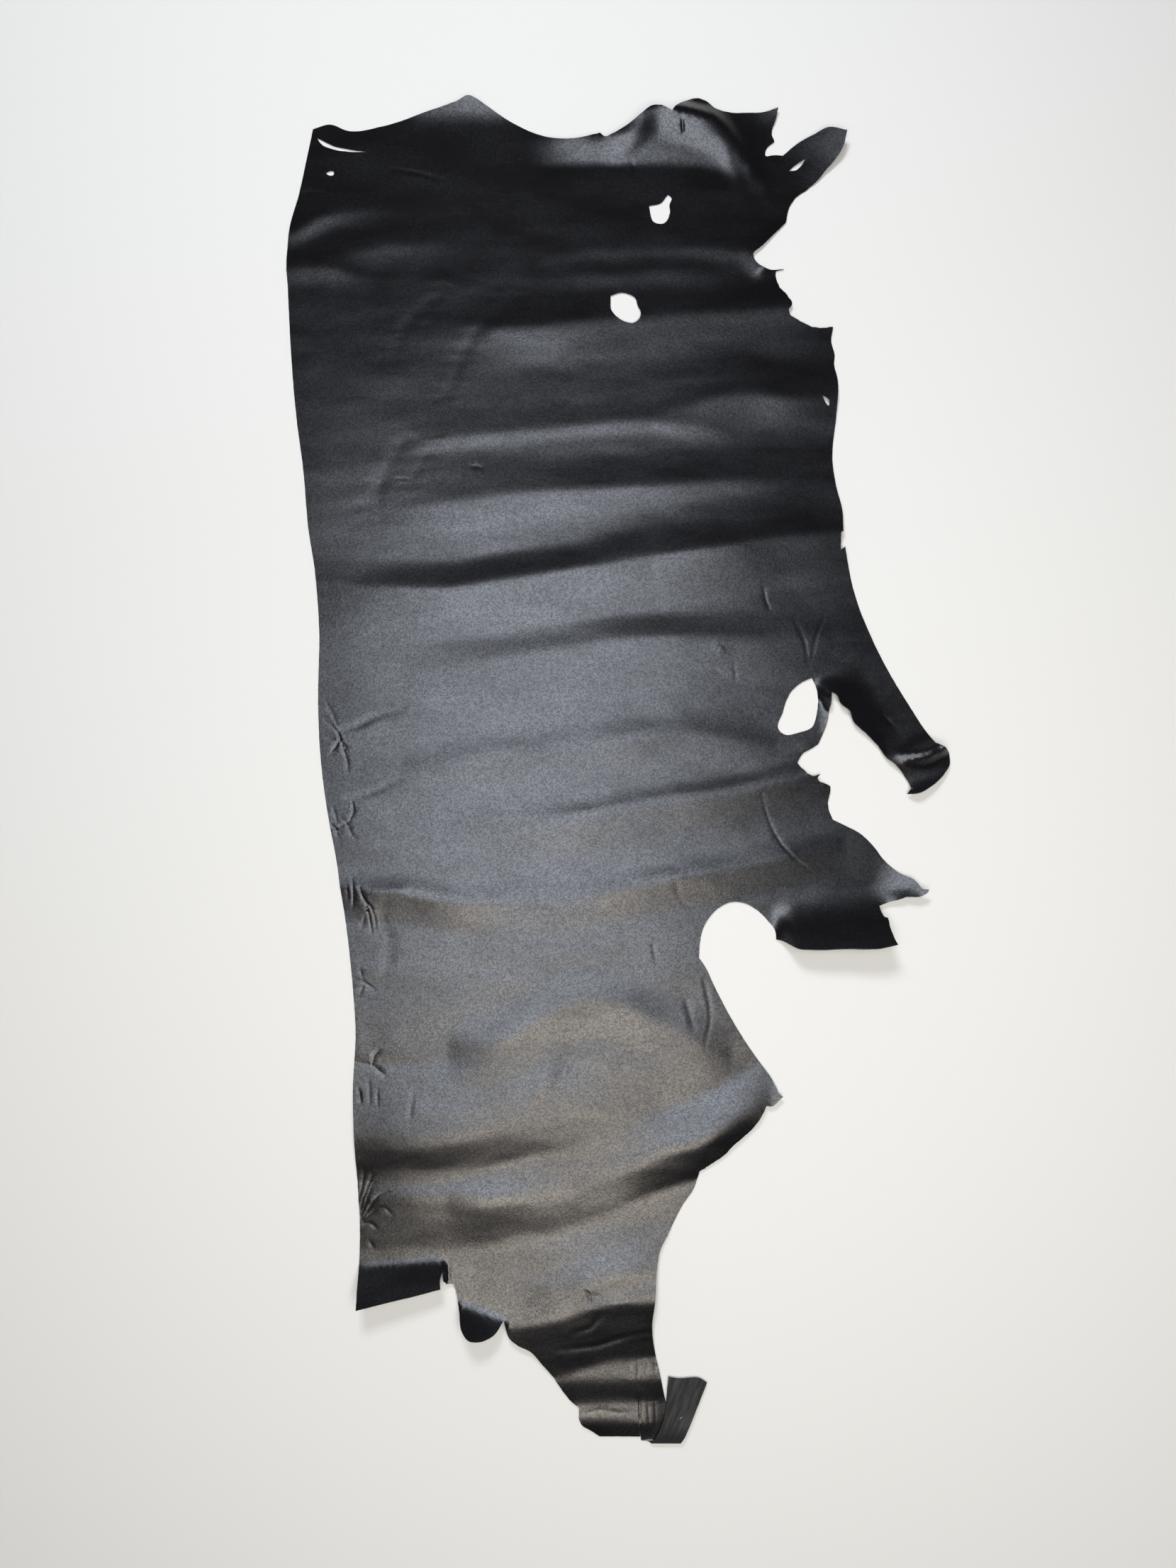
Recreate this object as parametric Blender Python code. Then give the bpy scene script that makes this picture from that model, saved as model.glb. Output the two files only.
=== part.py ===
"""A side of leather: half a black cow hide, parted along the backbone, lying grain side up.

The hide is one sheet of even thickness. Its cut shape is drawn flat, and the flat shape is then laid
on the ground with the low ridges, troughs and lifted ends that a hide keeps after it has been rolled.
One torn strip at the neck end folds right over and lies flesh side up on the hide.

X runs from the backbone edge (-X) to the belly edge (+X), Y from the neck (-Y) to the butt (+Y), and
Z up. The tables are in centimetres. The origin is on the ground, under the middle of the hide.
"""
import math

import bpy
import numpy as np
from mathutils import Vector
from mathutils.geometry import delaunay_2d_cdt
from mathutils.kdtree import KDTree

CM = 0.01

# Driving dimensions, in centimetres
HIDE_THICKNESS = 0.20
EDGE_STEP = 2.2          # longest step between two points of the outline
MESH_PITCH_X = 4.3       # interior points lie wider apart along the ridges
MESH_PITCH_Y = 2.15      # and closer together across them
CREST_STEP = 4.0         # points set along the crest of each ridge
EDGE_CLEARANCE = 1.15    # interior points keep this far from the outline

# The strip at the neck end that folds over onto the hide
STRIP_BEND_RADIUS = 0.50         # of the flesh side, which is the outer side of the bend
STRIP_BEND_START = -118.2        # Y at which the hide starts to turn up
STRIP_BEND_ROWS = 6
STRIP_END_HEIGHT = 0.55          # of the strip's flesh side at its torn end
STRIP_LENGTH = 11.5
STRIP_INNER_X = 4.8              # the hide folds over on the belly side of this line
BEND_INNER_X = (6.6, 7.8, 9.0, 10.2)     # interior points lie in these columns across the bend
BEND_CLEARANCE = 0.3             # and keep this far from the outline
BEND_ARC = math.pi * STRIP_BEND_RADIUS
BEND_END = STRIP_BEND_START - BEND_ARC

# The cut shape, clockwise from the tail corner: name of the stretch, and its points (x, y).
# Each stretch is one smooth curve through its points, and stretches meet in corners.
OUTLINE = [
    ("tail corner", [(-53.7, 112.7), (-50.7, 113.5), (-47.6, 112.4), (-41.0, 113.3), (-34.0, 115.5),
                     (-28.2, 117.3), (-26.2, 118.1), (-24.6, 117.5)]),
    ("butt hollow", [(-24.6, 117.5), (-18.0, 113.5), (-12.0, 110.9), (-8.0, 110.6), (-3.1, 111.5)]),
    ("butt nick", [(-3.1, 111.5), (-2.4, 110.9), (-0.5, 111.4)]),
    ("butt lip", [(-0.5, 111.4), (2.0, 112.7), (4.0, 114.2), (6.0, 115.5), (7.6, 115.5), (9.4, 114.7)]),
    ("butt end", [(9.4, 114.7), (11.2, 116.6), (13.8, 117.8), (15.8, 117.1), (17.0, 115.8),
                  (19.6, 115.4), (23.0, 115.5), (26.1, 115.6), (28.2, 116.2)]),
    ("hock notch", [(28.2, 116.2), (27.7, 114.0), (27.1, 112.1), (27.6, 110.5)]),
    ("hock notch", [(27.6, 110.5), (26.1, 109.1), (26.0, 108.0), (27.6, 108.1), (29.1, 108.0)]),
    ("hind shank inner side", [(29.1, 108.0), (31.7, 110.0), (34.7, 111.4), (36.6, 112.2),
                               (40.0, 111.4)]),
    ("hind shank outer side", [(40.0, 111.4), (39.3, 108.7), (38.2, 107.0), (36.6, 105.3), (35.0, 103.4),
                               (33.3, 102.0), (31.3, 100.5), (30.2, 98.8), (29.6, 96.2)]),
    ("flank", [(29.6, 96.2), (27.8, 94.4), (25.5, 92.1), (23.8, 90.4), (24.4, 89.2), (26.4, 88.0),
               (29.3, 88.0)]),
    ("flank tear", [(29.3, 88.0), (27.9, 87.6), (28.5, 84.7)]),
    ("flank tear", [(28.5, 84.7), (29.9, 83.0), (30.6, 81.6), (30.0, 80.7)]),
    ("flank tear", [(30.0, 80.7), (30.2, 80.0), (31.7, 79.0), (33.3, 78.2), (34.6, 77.7), (37.9, 77.8)]),
    ("belly edge", [(37.9, 77.8), (37.6, 75.3), (38.2, 72.9), (38.1, 71.3), (38.6, 68.9), (38.4, 62.0),
                    (37.8, 54.0), (38.3, 50.0), (39.4, 45.4), (39.5, 41.6)]),
    ("belly nick", [(39.5, 41.6), (39.1, 41.5)]),
    ("belly nick", [(39.1, 41.5), (39.1, 38.4)]),
    ("belly nick", [(39.1, 38.4), (39.9, 39.0)]),
    ("fore shank outer side", [(39.9, 39.0), (40.7, 35.0), (42.3, 29.0), (44.1, 24.3), (48.0, 16.6),
                               (52.3, 9.6), (55.6, 4.4)]),
    ("fore shank end", [(55.6, 4.4), (56.8, 3.9), (58.1, 2.8), (58.4, 0.9), (57.2, -1.1), (54.8, -3.2),
                        (52.7, -4.3), (51.0, -4.5)]),
    ("fore shank inner side", [(51.0, -4.5), (51.4, -3.6), (50.4, -1.2), (48.8, 0.7)]),
    ("fore shank inner side", [(48.8, 0.7), (47.0, 2.1), (45.7, 4.0), (43.4, 6.3), (41.1, 8.6),
                               (40.7, 10.1), (39.1, 11.3), (38.3, 12.9), (37.5, 13.4)]),
    ("armpit strap", [(37.5, 13.4), (37.3, 11.0), (36.9, 8.3), (36.1, 6.0), (35.3, 4.3)]),
    ("armpit strap", [(35.3, 4.3), (33.8, 3.4), (32.4, 2.4), (31.6, 1.0)]),
    ("brisket tears", [(31.6, 1.0), (33.5, -0.9), (34.6, -1.2), (35.6, -0.9)]),
    ("brisket tears", [(35.6, -0.9), (35.2, -1.6), (37.4, -3.1)]),
    ("brisket tears", [(37.4, -3.1), (37.2, -5.0), (37.0, -6.7), (37.5, -8.0), (37.9, -9.0)]),
    ("brisket edge", [(37.9, -9.0), (40.0, -10.0), (42.8, -11.5), (45.0, -13.6), (47.0, -16.2),
                      (49.8, -18.5), (52.0, -19.5), (53.3, -21.1)]),
    ("brisket slit", [(53.3, -21.1), (54.4, -21.2), (54.1, -21.7), (50.3, -22.6), (45.9, -24.1)]),
    ("brisket slit", [(45.9, -24.1), (46.0, -24.8), (46.4, -25.7), (46.6, -26.0), (47.1, -26.1)]),
    ("brisket slit", [(47.1, -26.1), (47.4, -28.4), (48.1, -30.4)]),
    ("brisket lower edge", [(48.1, -30.4), (45.3, -31.0), (39.0, -31.2), (33.4, -31.4), (31.0, -31.2),
                            (29.8, -30.6), (28.9, -30.2), (28.0, -30.1)]),
    ("throat arch", [(28.0, -30.1), (27.9, -28.8), (26.4, -26.7), (24.4, -24.8), (22.3, -23.7),
                     (20.0, -23.5), (18.3, -24.2), (16.3, -26.0), (15.1, -28.0), (14.5, -30.5),
                     (14.3, -33.3)]),
    ("neck flare", [(14.3, -33.3), (15.4, -34.9), (17.0, -38.3), (19.5, -43.1), (21.9, -47.2),
                    (24.7, -51.3), (26.9, -54.3), (28.0, -56.3)]),
    ("neck flare tip", [(28.0, -56.3), (28.1, -56.8), (29.0, -57.6)]),
    ("neck flare tip", [(29.0, -57.6), (26.8, -59.3), (26.1, -59.2)]),
    ("neck shoulder", [(26.1, -59.2), (25.2, -61.0), (23.1, -63.8), (20.5, -66.0), (18.6, -68.0),
                       (16.4, -69.5), (14.4, -70.8)]),
    ("neck right edge", [(14.4, -70.8), (13.3, -74.1), (11.6, -76.6), (8.7, -82.2), (7.4, -84.7),
                         (6.8, -88.0), (6.5, -92.8), (6.0, -98.2), (6.3, -101.2), (7.7, -107.9),
                         (8.4, -111.3), (9.7, -114.8), (11.1, -118.2)]),
    ("strip right edge", [(11.1, -118.2), (10.9, -119.0), (11.7, -120.4), (12.9, -123.1),
                          (14.4, -126.8), (15.7, -130.0)]),
    ("strip torn end", [(15.7, -130.0), (14.4, -130.75), (12.6, -130.85), (11.0, -130.65),
                        (8.9, -131.0)]),
    ("strip left edge", [(8.9, -131.0), (8.5, -127.0), (8.2, -124.2), (7.2, -121.4), (6.3, -119.8),
                         (5.6, -118.7), (5.0, -118.4)]),
    ("tongue end", [(5.0, -118.4), (4.2, -118.3)]),
    ("neck cut", [(4.1, -118.3), (3.86, -116.0), (3.62, -113.3), (3.5, -110.5)]),
    ("neck cut", [(3.5, -110.5), (3.54, -113.3), (3.78, -116.0), (3.96, -117.6)]),
    ("neck end", [(3.96, -117.6), (-3.2, -117.6)]),
    ("neck end", [(-3.2, -117.6), (-4.9, -116.4), (-6.3, -115.5), (-6.8, -114.5)]),
    ("neck end", [(-6.8, -114.5), (-6.8, -112.5)]),
    ("neck left edge", [(-6.8, -112.5), (-8.1, -111.5), (-9.3, -110.0), (-11.3, -107.0)]),
    ("neck left edge", [(-11.3, -107.0), (-13.4, -104.5), (-15.3, -102.3), (-17.6, -101.1),
                        (-19.1, -99.7), (-19.6, -98.2), (-20.0, -96.7)]),
    ("cheek tongue", [(-20.0, -96.7), (-21.6, -98.6), (-24.0, -99.3), (-25.9, -99.0), (-27.2, -97.6),
                      (-27.8, -95.0), (-28.4, -91.8)]),
    ("cheek tongue", [(-28.4, -91.8), (-29.0, -90.6), (-30.2, -90.6)]),
    ("cheek slit", [(-30.2, -90.6), (-30.5, -89.9), (-30.8, -88.2)]),
    ("cheek slit", [(-30.8, -88.2), (-31.05, -89.2), (-30.9, -90.5)]),
    ("shoulder flap", [(-30.9, -90.5), (-34.8, -91.4), (-39.7, -92.4), (-45.3, -93.6)]),
    ("backbone edge", [(-45.3, -93.6), (-45.5, -89.6), (-45.4, -80.8), (-46.2, -67.0), (-46.6, -56.4),
                       (-46.2, -46.0), (-46.7, -38.4), (-48.0, -26.5), (-49.6, -16.0), (-51.3, -6.7),
                       (-52.4, 2.4), (-52.8, 12.8), (-52.6, 24.0), (-53.3, 34.5), (-54.5, 42.1),
                       (-55.4, 52.5), (-56.6, 61.7), (-57.7, 75.4), (-58.1, 84.0), (-58.3, 89.8),
                       (-57.6, 95.9), (-56.0, 101.9), (-54.8, 107.5), (-53.7, 112.7)]),
]

# Holes: name, and the points (x, y) that the closed curve runs through
HOLES = [
    ("tail slit", [(-53.0, 111.2), (-50.2, 109.8), (-46.9, 109.1), (-44.2, 108.7), (-47.0, 108.7),
                   (-50.4, 109.2), (-52.3, 110.1)]),
    ("tail nick", [(-51.5, 104.9), (-50.9, 105.3), (-50.0, 105.2), (-50.1, 104.6), (-50.8, 104.5)]),
    ("rump hole", [(5.5, 99.2), (7.6, 99.7), (9.0, 101.1), (9.5, 100.6), (9.1, 99.4), (9.2, 98.0),
                   (8.2, 96.1), (6.3, 96.3), (5.7, 98.0)]),
    ("loin hole", [(-1.3, 83.3), (0.7, 83.9), (2.0, 83.6), (3.2, 82.8), (3.4, 81.8), (4.1, 80.2),
                   (3.6, 79.0), (2.5, 78.4), (1.5, 78.6), (0.1, 79.3), (-1.0, 80.5)]),
    ("belly hole", [(35.9, 65.7), (37.2, 64.8), (37.1, 63.8), (36.3, 64.7)]),
    ("hind shank slit", [(30.1, 105.3), (31.4, 105.4), (33.0, 107.3), (31.0, 106.1)]),
    ("armpit hole", [(34.2, 16.0), (32.2, 15.1), (30.6, 13.6), (29.0, 9.8), (28.3, 7.0), (29.4, 6.0),
                     (32.0, 6.4), (34.1, 7.2), (35.2, 10.4), (35.1, 14.2)]),
    ("strip slit", [(10.6, -123.3), (11.0, -124.0), (11.5, -124.3), (11.1, -123.6)]),
]

# Ridges that run across the hide: name, crest as (x, y, height), width of the flank towards the butt,
# width of the flank towards the neck, how far the crest is rounded, and the shape of the flanks: at 1
# they are straight slopes with a sharp foot, and at 2 they ease out to the ground
RIDGES = [
    ("butt step", [(-17, 110.8, 0.0), (-10, 111.0, 0.95), (0, 111.0, 1.1), (10, 111.0, 1.1),
                   (17, 110.6, 1.0), (21, 108.8, 0.45), (24.5, 106.0, 0.0)], 14.0, 4.6, 0.3, 1.1),
    ("butt lip", [(-3, 110.6, 0.0), (1, 112.4, 0.8), (4, 114.4, 1.7), (6.5, 115.4, 2.0),
                  (10, 115.1, 2.0), (15, 114.0, 1.75), (17.5, 113.2, 1.4), (19.2, 111.8, 0.85),
                  (20.6, 110.2, 0.35), (22.2, 107.8, 0.0)], 2.6, 4.6, 0.3, 1.2),
    ("butt lip end", [(18.4, 112.4, 0.0), (19.6, 111.4, 0.2), (21.0, 109.8, 0.32), (22.6, 107.4, 0.32),
                      (24.6, 104.6, 0.24), (27.4, 101.4, 0.0)], 2.4, 2.2, 0.3, 1.2),
    ("tail swell", [(-60, 93.6, 0.25), (-56.5, 95.0, 0.4), (-53, 97.0, 0.45), (-48, 98.4, 0.35),
                    (-43, 98.6, 0.2), (-36, 98.4, 0.0)], 5.0, 3.2, 0.5, 1.6),
    ("rump swell", [(-54, 89.6, 0.0), (-49, 90.8, 0.2), (-45, 91.6, 0.3), (-40, 92.4, 0.3),
                    (-33, 92.2, 0.15), (-24, 92.0, 0.0)], 5.0, 4.0, 0.6, 1.6),
    ("rump dent", [(-60, 88.0, 0.3), (-54, 88.6, 0.42), (-50, 88.2, 0.35), (-46, 87.4, 0.15),
                   (-42, 87.0, 0.0)], 4.0, 3.6, 0.5, 1.6),
    ("croup ridge", [(-15, 90.8, 0.0), (-8, 91.4, 0.22), (0, 92.1, 0.25), (10, 91.9, 0.27),
                     (16, 91.8, 0.32), (20, 91.4, 0.34), (24, 91.2, 0.34), (30, 91.0, 0.25)],
     6.5, 4.1, 0.5, 1.5),
    ("croup fold", [(-17, 86.6, 0.0), (-10, 86.8, 0.15), (0, 87.4, 0.17), (10, 87.8, 0.17),
                    (17, 87.4, 0.1), (22, 87.0, 0.0)], 2.4, 3.7, 0.5, 1.5),
    ("loin ridge", [(-36, 77.0, 0.0), (-26, 77.6, 0.25), (-18, 77.9, 0.54), (-10, 78.6, 0.58),
                    (0, 79.4, 0.42), (10, 80.0, 0.5), (20, 80.4, 0.5), (30, 81.4, 0.66),
                    (40, 82.0, 0.64)], 5.0, 7.4, 0.8, 1.5),
    ("flank ridge", [(6, 62.8, 0.0), (11, 63.8, 0.22), (16, 65.0, 0.42), (23, 66.0, 0.55),
                     (30, 65.2, 0.72), (41, 65.6, 0.75)], 7.0, 6.5, 0.6, 1.4),
    ("high ridge", [(-38, 57.0, 0.0), (-30, 58.3, 0.17), (-20, 59.2, 0.2), (-10, 60.2, 0.18),
                    (0, 61.1, 0.23), (8, 61.0, 0.2), (14, 60.4, 0.13), (21, 59.2, 0.0)],
     4.4, 2.7, 0.3, 1.4),
    ("rib ridge", [(-42, 45.4, 0.0), (-30, 47.0, 0.28), (-20, 48.4, 0.42), (-10, 49.0, 0.48),
                   (0, 49.4, 0.57), (10, 49.8, 0.66), (20, 50.6, 0.64), (30, 50.4, 0.55),
                   (41, 50.8, 0.5)], 6.0, 7.0, 0.5, 1.3),
    ("great ridge, spine side", [(-54, 32.8, 0.2), (-50, 32.4, 0.32), (-45, 31.9, 0.45),
                                 (-40, 31.7, 0.6), (-30, 31.6, 0.8), (-20, 33.0, 0.88),
                                 (-10, 34.6, 0.75), (0, 36.1, 0.35), (6, 37.0, 0.0)],
     4.6, 8.5, 0.35, 1.3),
    ("great ridge, belly side", [(-14, 34.0, 0.0), (-6, 35.2, 0.35), (0, 36.1, 0.8), (10, 37.5, 1.35),
                                 (20, 38.8, 1.5), (30, 40.4, 1.5), (36, 41.0, 1.4),
                                 (43, 41.8, 1.2)], 9.2, 8.5, 0.35, 1.2),
    ("girth ridge", [(-38, 17.2, 0.0), (-30, 18.0, 0.2), (-20, 19.0, 0.42), (-10, 20.6, 0.46),
                     (0, 22.4, 0.58), (10, 22.8, 0.62), (20, 22.8, 0.55), (30, 23.0, 0.4),
                     (38, 24.0, 0.3)], 4.8, 8.0, 0.5, 1.3),
    ("heart ridge", [(-38, 0.2, 0.0), (-30, 1.0, 0.3), (-20, 2.8, 0.38), (-10, 3.4, 0.36),
                     (0, 4.8, 0.5), (10, 6.6, 0.46), (20, 5.2, 0.25), (28, 4.0, 0.0)],
     4.0, 5.0, 0.4, 1.3),
    ("elbow ridge", [(-30, -8.6, 0.0), (-20, -8.8, 0.3), (-10, -9.0, 0.58), (0, -7.0, 0.62),
                     (10, -5.3, 0.7), (20, -3.9, 0.78), (30, -1.5, 0.78), (39, 0.2, 0.6)],
     3.3, 7.0, 0.3, 1.3),
    ("shoulder line", [(-50, -20.2, 0.45), (-44, -21.4, 0.7), (-38, -21.7, 0.74), (-30, -23.0, 0.76),
                       (-20, -23.2, 0.45), (-10, -22.8, 0.32), (0, -21.1, 0.62), (10, -19.2, 0.72),
                       (20, -17.4, 0.6), (30, -15.2, 0.5), (40, -13.4, 0.0)], 3.4, 5.5, 0.3, 1.3),
    ("shoulder swell", [(-30, -49.4, 0.0), (-22, -48.8, 0.5), (-14, -44.2, 0.45), (-6, -40.6, 0.5),
                        (2, -42.0, 0.4), (8, -45.2, 0.25), (14, -48.2, 0.25), (20, -50.0, 0.0)],
     5.0, 6.5, 1.0, 1.5),
    ("nape step", [(-50, -65.0, 0.6), (-44, -65.4, 0.85), (-38, -65.6, 1.35), (-30, -65.0, 1.25),
                   (-24, -63.6, 1.0), (-20, -62.4, 0.9), (-14, -61.2, 0.7), (-8, -60.8, 0.5),
                   (0, -60.4, 0.2), (8, -60.0, 0.0)], 12.0, 6.2, 1.2, 1.0),
    ("nape ridge", [(-50, -76.0, 0.0), (-44, -75.8, 0.35), (-36, -75.8, 0.66), (-28, -75.6, 0.7),
                    (-20, -76.0, 0.4), (-12, -76.2, 0.25), (-6, -76.0, 0.0)], 4.6, 11.0, 0.9, 1.15),
    ("neck swell", [(-30, -77.0, 0.0), (-22, -76.8, 0.4), (-14, -75.2, 0.3), (-8, -73.6, 0.36),
                    (0, -71.0, 0.5), (6, -68.4, 0.85), (10, -66.9, 1.05), (15, -65.2, 1.45),
                    (20, -62.6, 1.3), (27, -58.4, 0.4)], 6.0, 5.4, 0.8, 1.0),
    ("throat crease", [(-17, -93.8, 0.0), (-10, -92.3, 0.16), (-5, -90.3, 0.26), (0, -88.6, 0.26),
                       (5, -87.6, 0.12), (9, -87.0, 0.0)], 4.0, 2.0, 0.3, 1.0),
    ("throat ridge", [(-25, -98.2, 1.2), (-16, -97.4, 1.55), (-10, -96.0, 1.85), (-5, -94.4, 1.95),
                      (0, -93.5, 2.0), (5, -93.2, 2.05), (9, -93.0, 2.05)], 10.0, 9.8, 0.4, 1.0),
    ("collar ridge", [(-18, -107.6, 0.35), (-8, -107.8, 0.58), (0, -107.6, 0.56), (6, -107.4, 0.5),
                      (9, -107.2, 0.4)], 12.0, 3.5, 0.35, 1.0),
    ("neck pillow", [(-10, -114.7, 0.25), (-6, -114.8, 0.4), (0, -114.9, 0.42), (5.4, -115.0, 0.38),
                     (7.0, -115.0, 0.2), (8.2, -115.0, 0.0)], 6.5, 2.8, 0.35, 1.1),
    ("fore shank lip", [(47.0, 2.2, 0.0), (49.5, 2.1, 1.0), (51.5, 2.2, 2.0), (53.7, 2.5, 2.6),
                        (57.4, 4.1, 2.8), (60.0, 5.0, 2.8)], 5.0, 2.4, 0.35, 2.0),
]

# Ends and edges that curl up off the ground: name, a point (x, y) on the line where the curl starts,
# heading in degrees from +X, reach, height, how far it spreads left and right of the heading, softness
# of its sides, and its shape: at 1 it is a straight slope, and at 2 it steepens towards its free edge
LIFTS = [
    ("butt peak", -27.0, 112.6, 90.0, 5.6, 1.3, 14.0, 13.0, 7.0, 1.8),
    ("butt corner", 24.0, 113.0, 60.0, 5.0, 0.8, 8.0, 8.0, 4.0, 1.8),
    ("hind shank", 29.5, 105.0, 38.0, 13.0, 2.6, 9.0, 9.0, 3.0, 1.8),
    ("flank lip", 25.0, 96.5, -50.0, 5.5, 0.35, 6.0, 8.0, 4.0, 1.8),
    ("fore shank", 45.8, 12.8, 211.0, 6.0, 1.2, 14.5, 8.5, 5.0, 1.8),
    ("fore shank end", 54.4, -0.4, -72.0, 3.4, 1.7, 6.0, 5.0, 1.5, 1.8),
    ("armpit strap", 35.4, 9.5, 0.0, 2.0, 0.25, 3.6, 4.5, 2.0, 1.8),
    ("brisket flap", 38.0, -22.0, -82.0, 8.2, 4.1, 16.0, 11.5, 4.0, 1.5),
    ("brisket tip", 45.0, -18.5, -18.0, 9.5, 1.9, 6.0, 4.6, 2.0, 1.8),
    ("cheek tongue", -23.2, -95.1, -110.0, 4.0, 2.7, 4.6, 4.8, 0.7, 1.25),
    ("shoulder flap", -40.0, -87.0, -85.0, 6.1, 4.0, 9.4, 12.0, 0.4, 1.0),
    ("neck flare tip", 22.0, -54.0, -30.0, 8.0, 0.6, 8.0, 8.0, 4.0, 1.8),
]
LIFT_LIMIT = 1.5         # a curl ends at this many times its reach, where other parts of the hide lie,
LIFT_FADE = 0.3          # over this share of the reach
RELIEF_FADE = 1.5        # the relief runs out this far before the bend of the strip


def smooth_line(knots, values, at):
    """Smooth curve through values at rising knots, read at the places in at. Ends are held."""
    knots = np.asarray(knots, float)
    values = np.asarray(values, float)
    slopes = np.gradient(values, knots, axis=0) if len(knots) > 2 else np.repeat(
        (values[1:] - values[:-1]) / (knots[1] - knots[0]), 2, axis=0)
    at = np.clip(at, knots[0], knots[-1])
    left = np.clip(np.searchsorted(knots, at, side="right") - 1, 0, len(knots) - 2)
    span = knots[left + 1] - knots[left]
    t = (at - knots[left]) / span
    if values.ndim > 1:
        t = t[:, None]
        span = span[:, None]
    return ((2 * t**3 - 3 * t**2 + 1) * values[left] + (t**3 - 2 * t**2 + t) * span * slopes[left]
            + (3 * t**2 - 2 * t**3) * values[left + 1] + (t**3 - t**2) * span * slopes[left + 1])


def stretch_points(points, step):
    """Points along the smooth curve through a stretch's points, without the last one."""
    points = np.array(points, float)
    lengths = np.hypot(*np.diff(points, axis=0).T)
    knots = np.concatenate([[0.0], np.cumsum(lengths)])
    places = []
    for start, length in zip(knots, lengths):
        pieces = max(1, math.ceil(length / step))
        places += [start + length * k / pieces for k in range(pieces)]
    return smooth_line(knots, points, np.array(places))


def split_at_bend(loop):
    """Add points where the loop crosses the rows of the strip's bend, so that it bends round."""
    rows = [STRIP_BEND_START - BEND_ARC * k / STRIP_BEND_ROWS for k in range(STRIP_BEND_ROWS + 1)]
    result = []
    for a, b in zip(loop, np.roll(loop, -1, axis=0)):
        result.append(a)
        crossings = [r for r in rows if min(a[1], b[1]) + 0.05 < r < max(a[1], b[1]) - 0.05]
        for row in sorted(crossings, reverse=bool(a[1] > b[1])):
            share = (row - a[1]) / (b[1] - a[1])
            result.append(a + share * (b - a))
    return np.array(result)


def cut_loops():
    """The outline and the holes of the flat cut shape, each as a closed loop of points."""
    outline = np.concatenate([stretch_points(points, EDGE_STEP) for _, points in OUTLINE])
    loops = [split_at_bend(outline)]
    for _, points in HOLES:
        loops.append(stretch_points(points + points[:1], EDGE_STEP))
    return loops


def is_inside(points, loops):
    """True for the points on the hide: inside the outline and outside each hole."""
    inside = np.zeros(len(points), bool)
    px, py = points[:, 0], points[:, 1]
    for loop in loops:
        for (ax, ay), (bx, by) in zip(loop, np.roll(loop, -1, axis=0)):
            if ay == by:
                continue
            crosses = (ay > py) != (by > py)
            inside ^= crosses & (px < (bx - ax) * (py - ay) / (by - ay) + ax)
    return inside


def mesh_points(loops):
    """Points inside the cut shape: rows along each crest, rows across the bend, and an even grid."""
    near = KDTree(sum(len(loop) for loop in loops))
    for index, point in enumerate(np.concatenate(loops)):
        near.insert((*point, 0.0), index)
    near.balance()

    crest_points = []
    for _, crest, *_ in RIDGES:
        crest = np.array(crest, float)
        xs = np.arange(crest[0, 0], crest[-1, 0], CREST_STEP)
        ys = smooth_line(crest[:, 0], crest[:, 1], xs)
        crest_points += list(zip(xs, ys))

    bend_points = []
    for k in range(STRIP_BEND_ROWS + 1):
        y = STRIP_BEND_START - BEND_ARC * k / STRIP_BEND_ROWS
        bend_points += [(x, y) for x in BEND_INNER_X]

    lowest, highest = loops[0].min(axis=0), loops[0].max(axis=0)
    grid_points = []
    for row, y in enumerate(np.arange(lowest[1], highest[1], MESH_PITCH_Y)):
        offset = 0.5 * MESH_PITCH_X * (row % 2)
        grid_points += [(x + offset, y) for x in np.arange(lowest[0], highest[0], MESH_PITCH_X)]

    kept = []
    taken = KDTree(len(crest_points) + len(bend_points))
    for index, point in enumerate(bend_points + crest_points):
        taken.insert((*point, 0.0), index)
    taken.balance()
    for point in bend_points:
        if near.find((*point, 0.0))[2] > BEND_CLEARANCE:
            kept.append(point)
    for point in crest_points:
        if near.find((*point, 0.0))[2] > EDGE_CLEARANCE and point[1] > STRIP_BEND_START:
            kept.append(point)
    for point in grid_points:
        clear_of_bend = point[1] > STRIP_BEND_START + 0.5 or point[1] < BEND_END - 0.5
        if near.find((*point, 0.0))[2] > EDGE_CLEARANCE and clear_of_bend:
            if taken.find((*point, 0.0))[2] > EDGE_CLEARANCE:
                kept.append(point)
    kept = np.array(kept)
    return kept[is_inside(kept, loops)]


def flat_mesh(loops, inner):
    """Triangles over the cut shape: its points and the three corners of each triangle."""
    points = np.concatenate(loops + [inner])
    edges = []
    start = 0
    for loop in loops:
        count = len(loop)
        edges += [(start + k, start + (k + 1) % count) for k in range(count)]
        start += count
    places, _, faces, *_ = delaunay_2d_cdt([Vector(p) for p in points], edges, [], 0, 1e-5)
    places = np.array([(p.x, p.y) for p in places])
    faces = np.array(faces)
    return places, faces[is_inside(places[faces].mean(axis=1), loops)]


def ease(share):
    """Smooth step from 0 to 1."""
    share = np.clip(share, 0.0, 1.0)
    return share * share * (3.0 - 2.0 * share)


def ridge_height(x, y, crest, butt_flank, neck_flank, rounding, shape):
    crest = np.array(crest, float)
    crest_y = smooth_line(crest[:, 0], crest[:, 1], x)
    height = np.clip(smooth_line(crest[:, 0], crest[:, 2], x), 0.0, None)
    lean = smooth_line(crest[:, 0], np.gradient(crest[:, 1], crest[:, 0]), x)
    distance = (y - crest_y) / np.sqrt(1.0 + lean * lean)
    width = np.where(distance > 0.0, butt_flank, neck_flank)
    rounded = np.sqrt(distance * distance + rounding * rounding) - rounding
    return height * np.clip(1.0 - rounded / width, 0.0, 1.0)**shape


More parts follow.
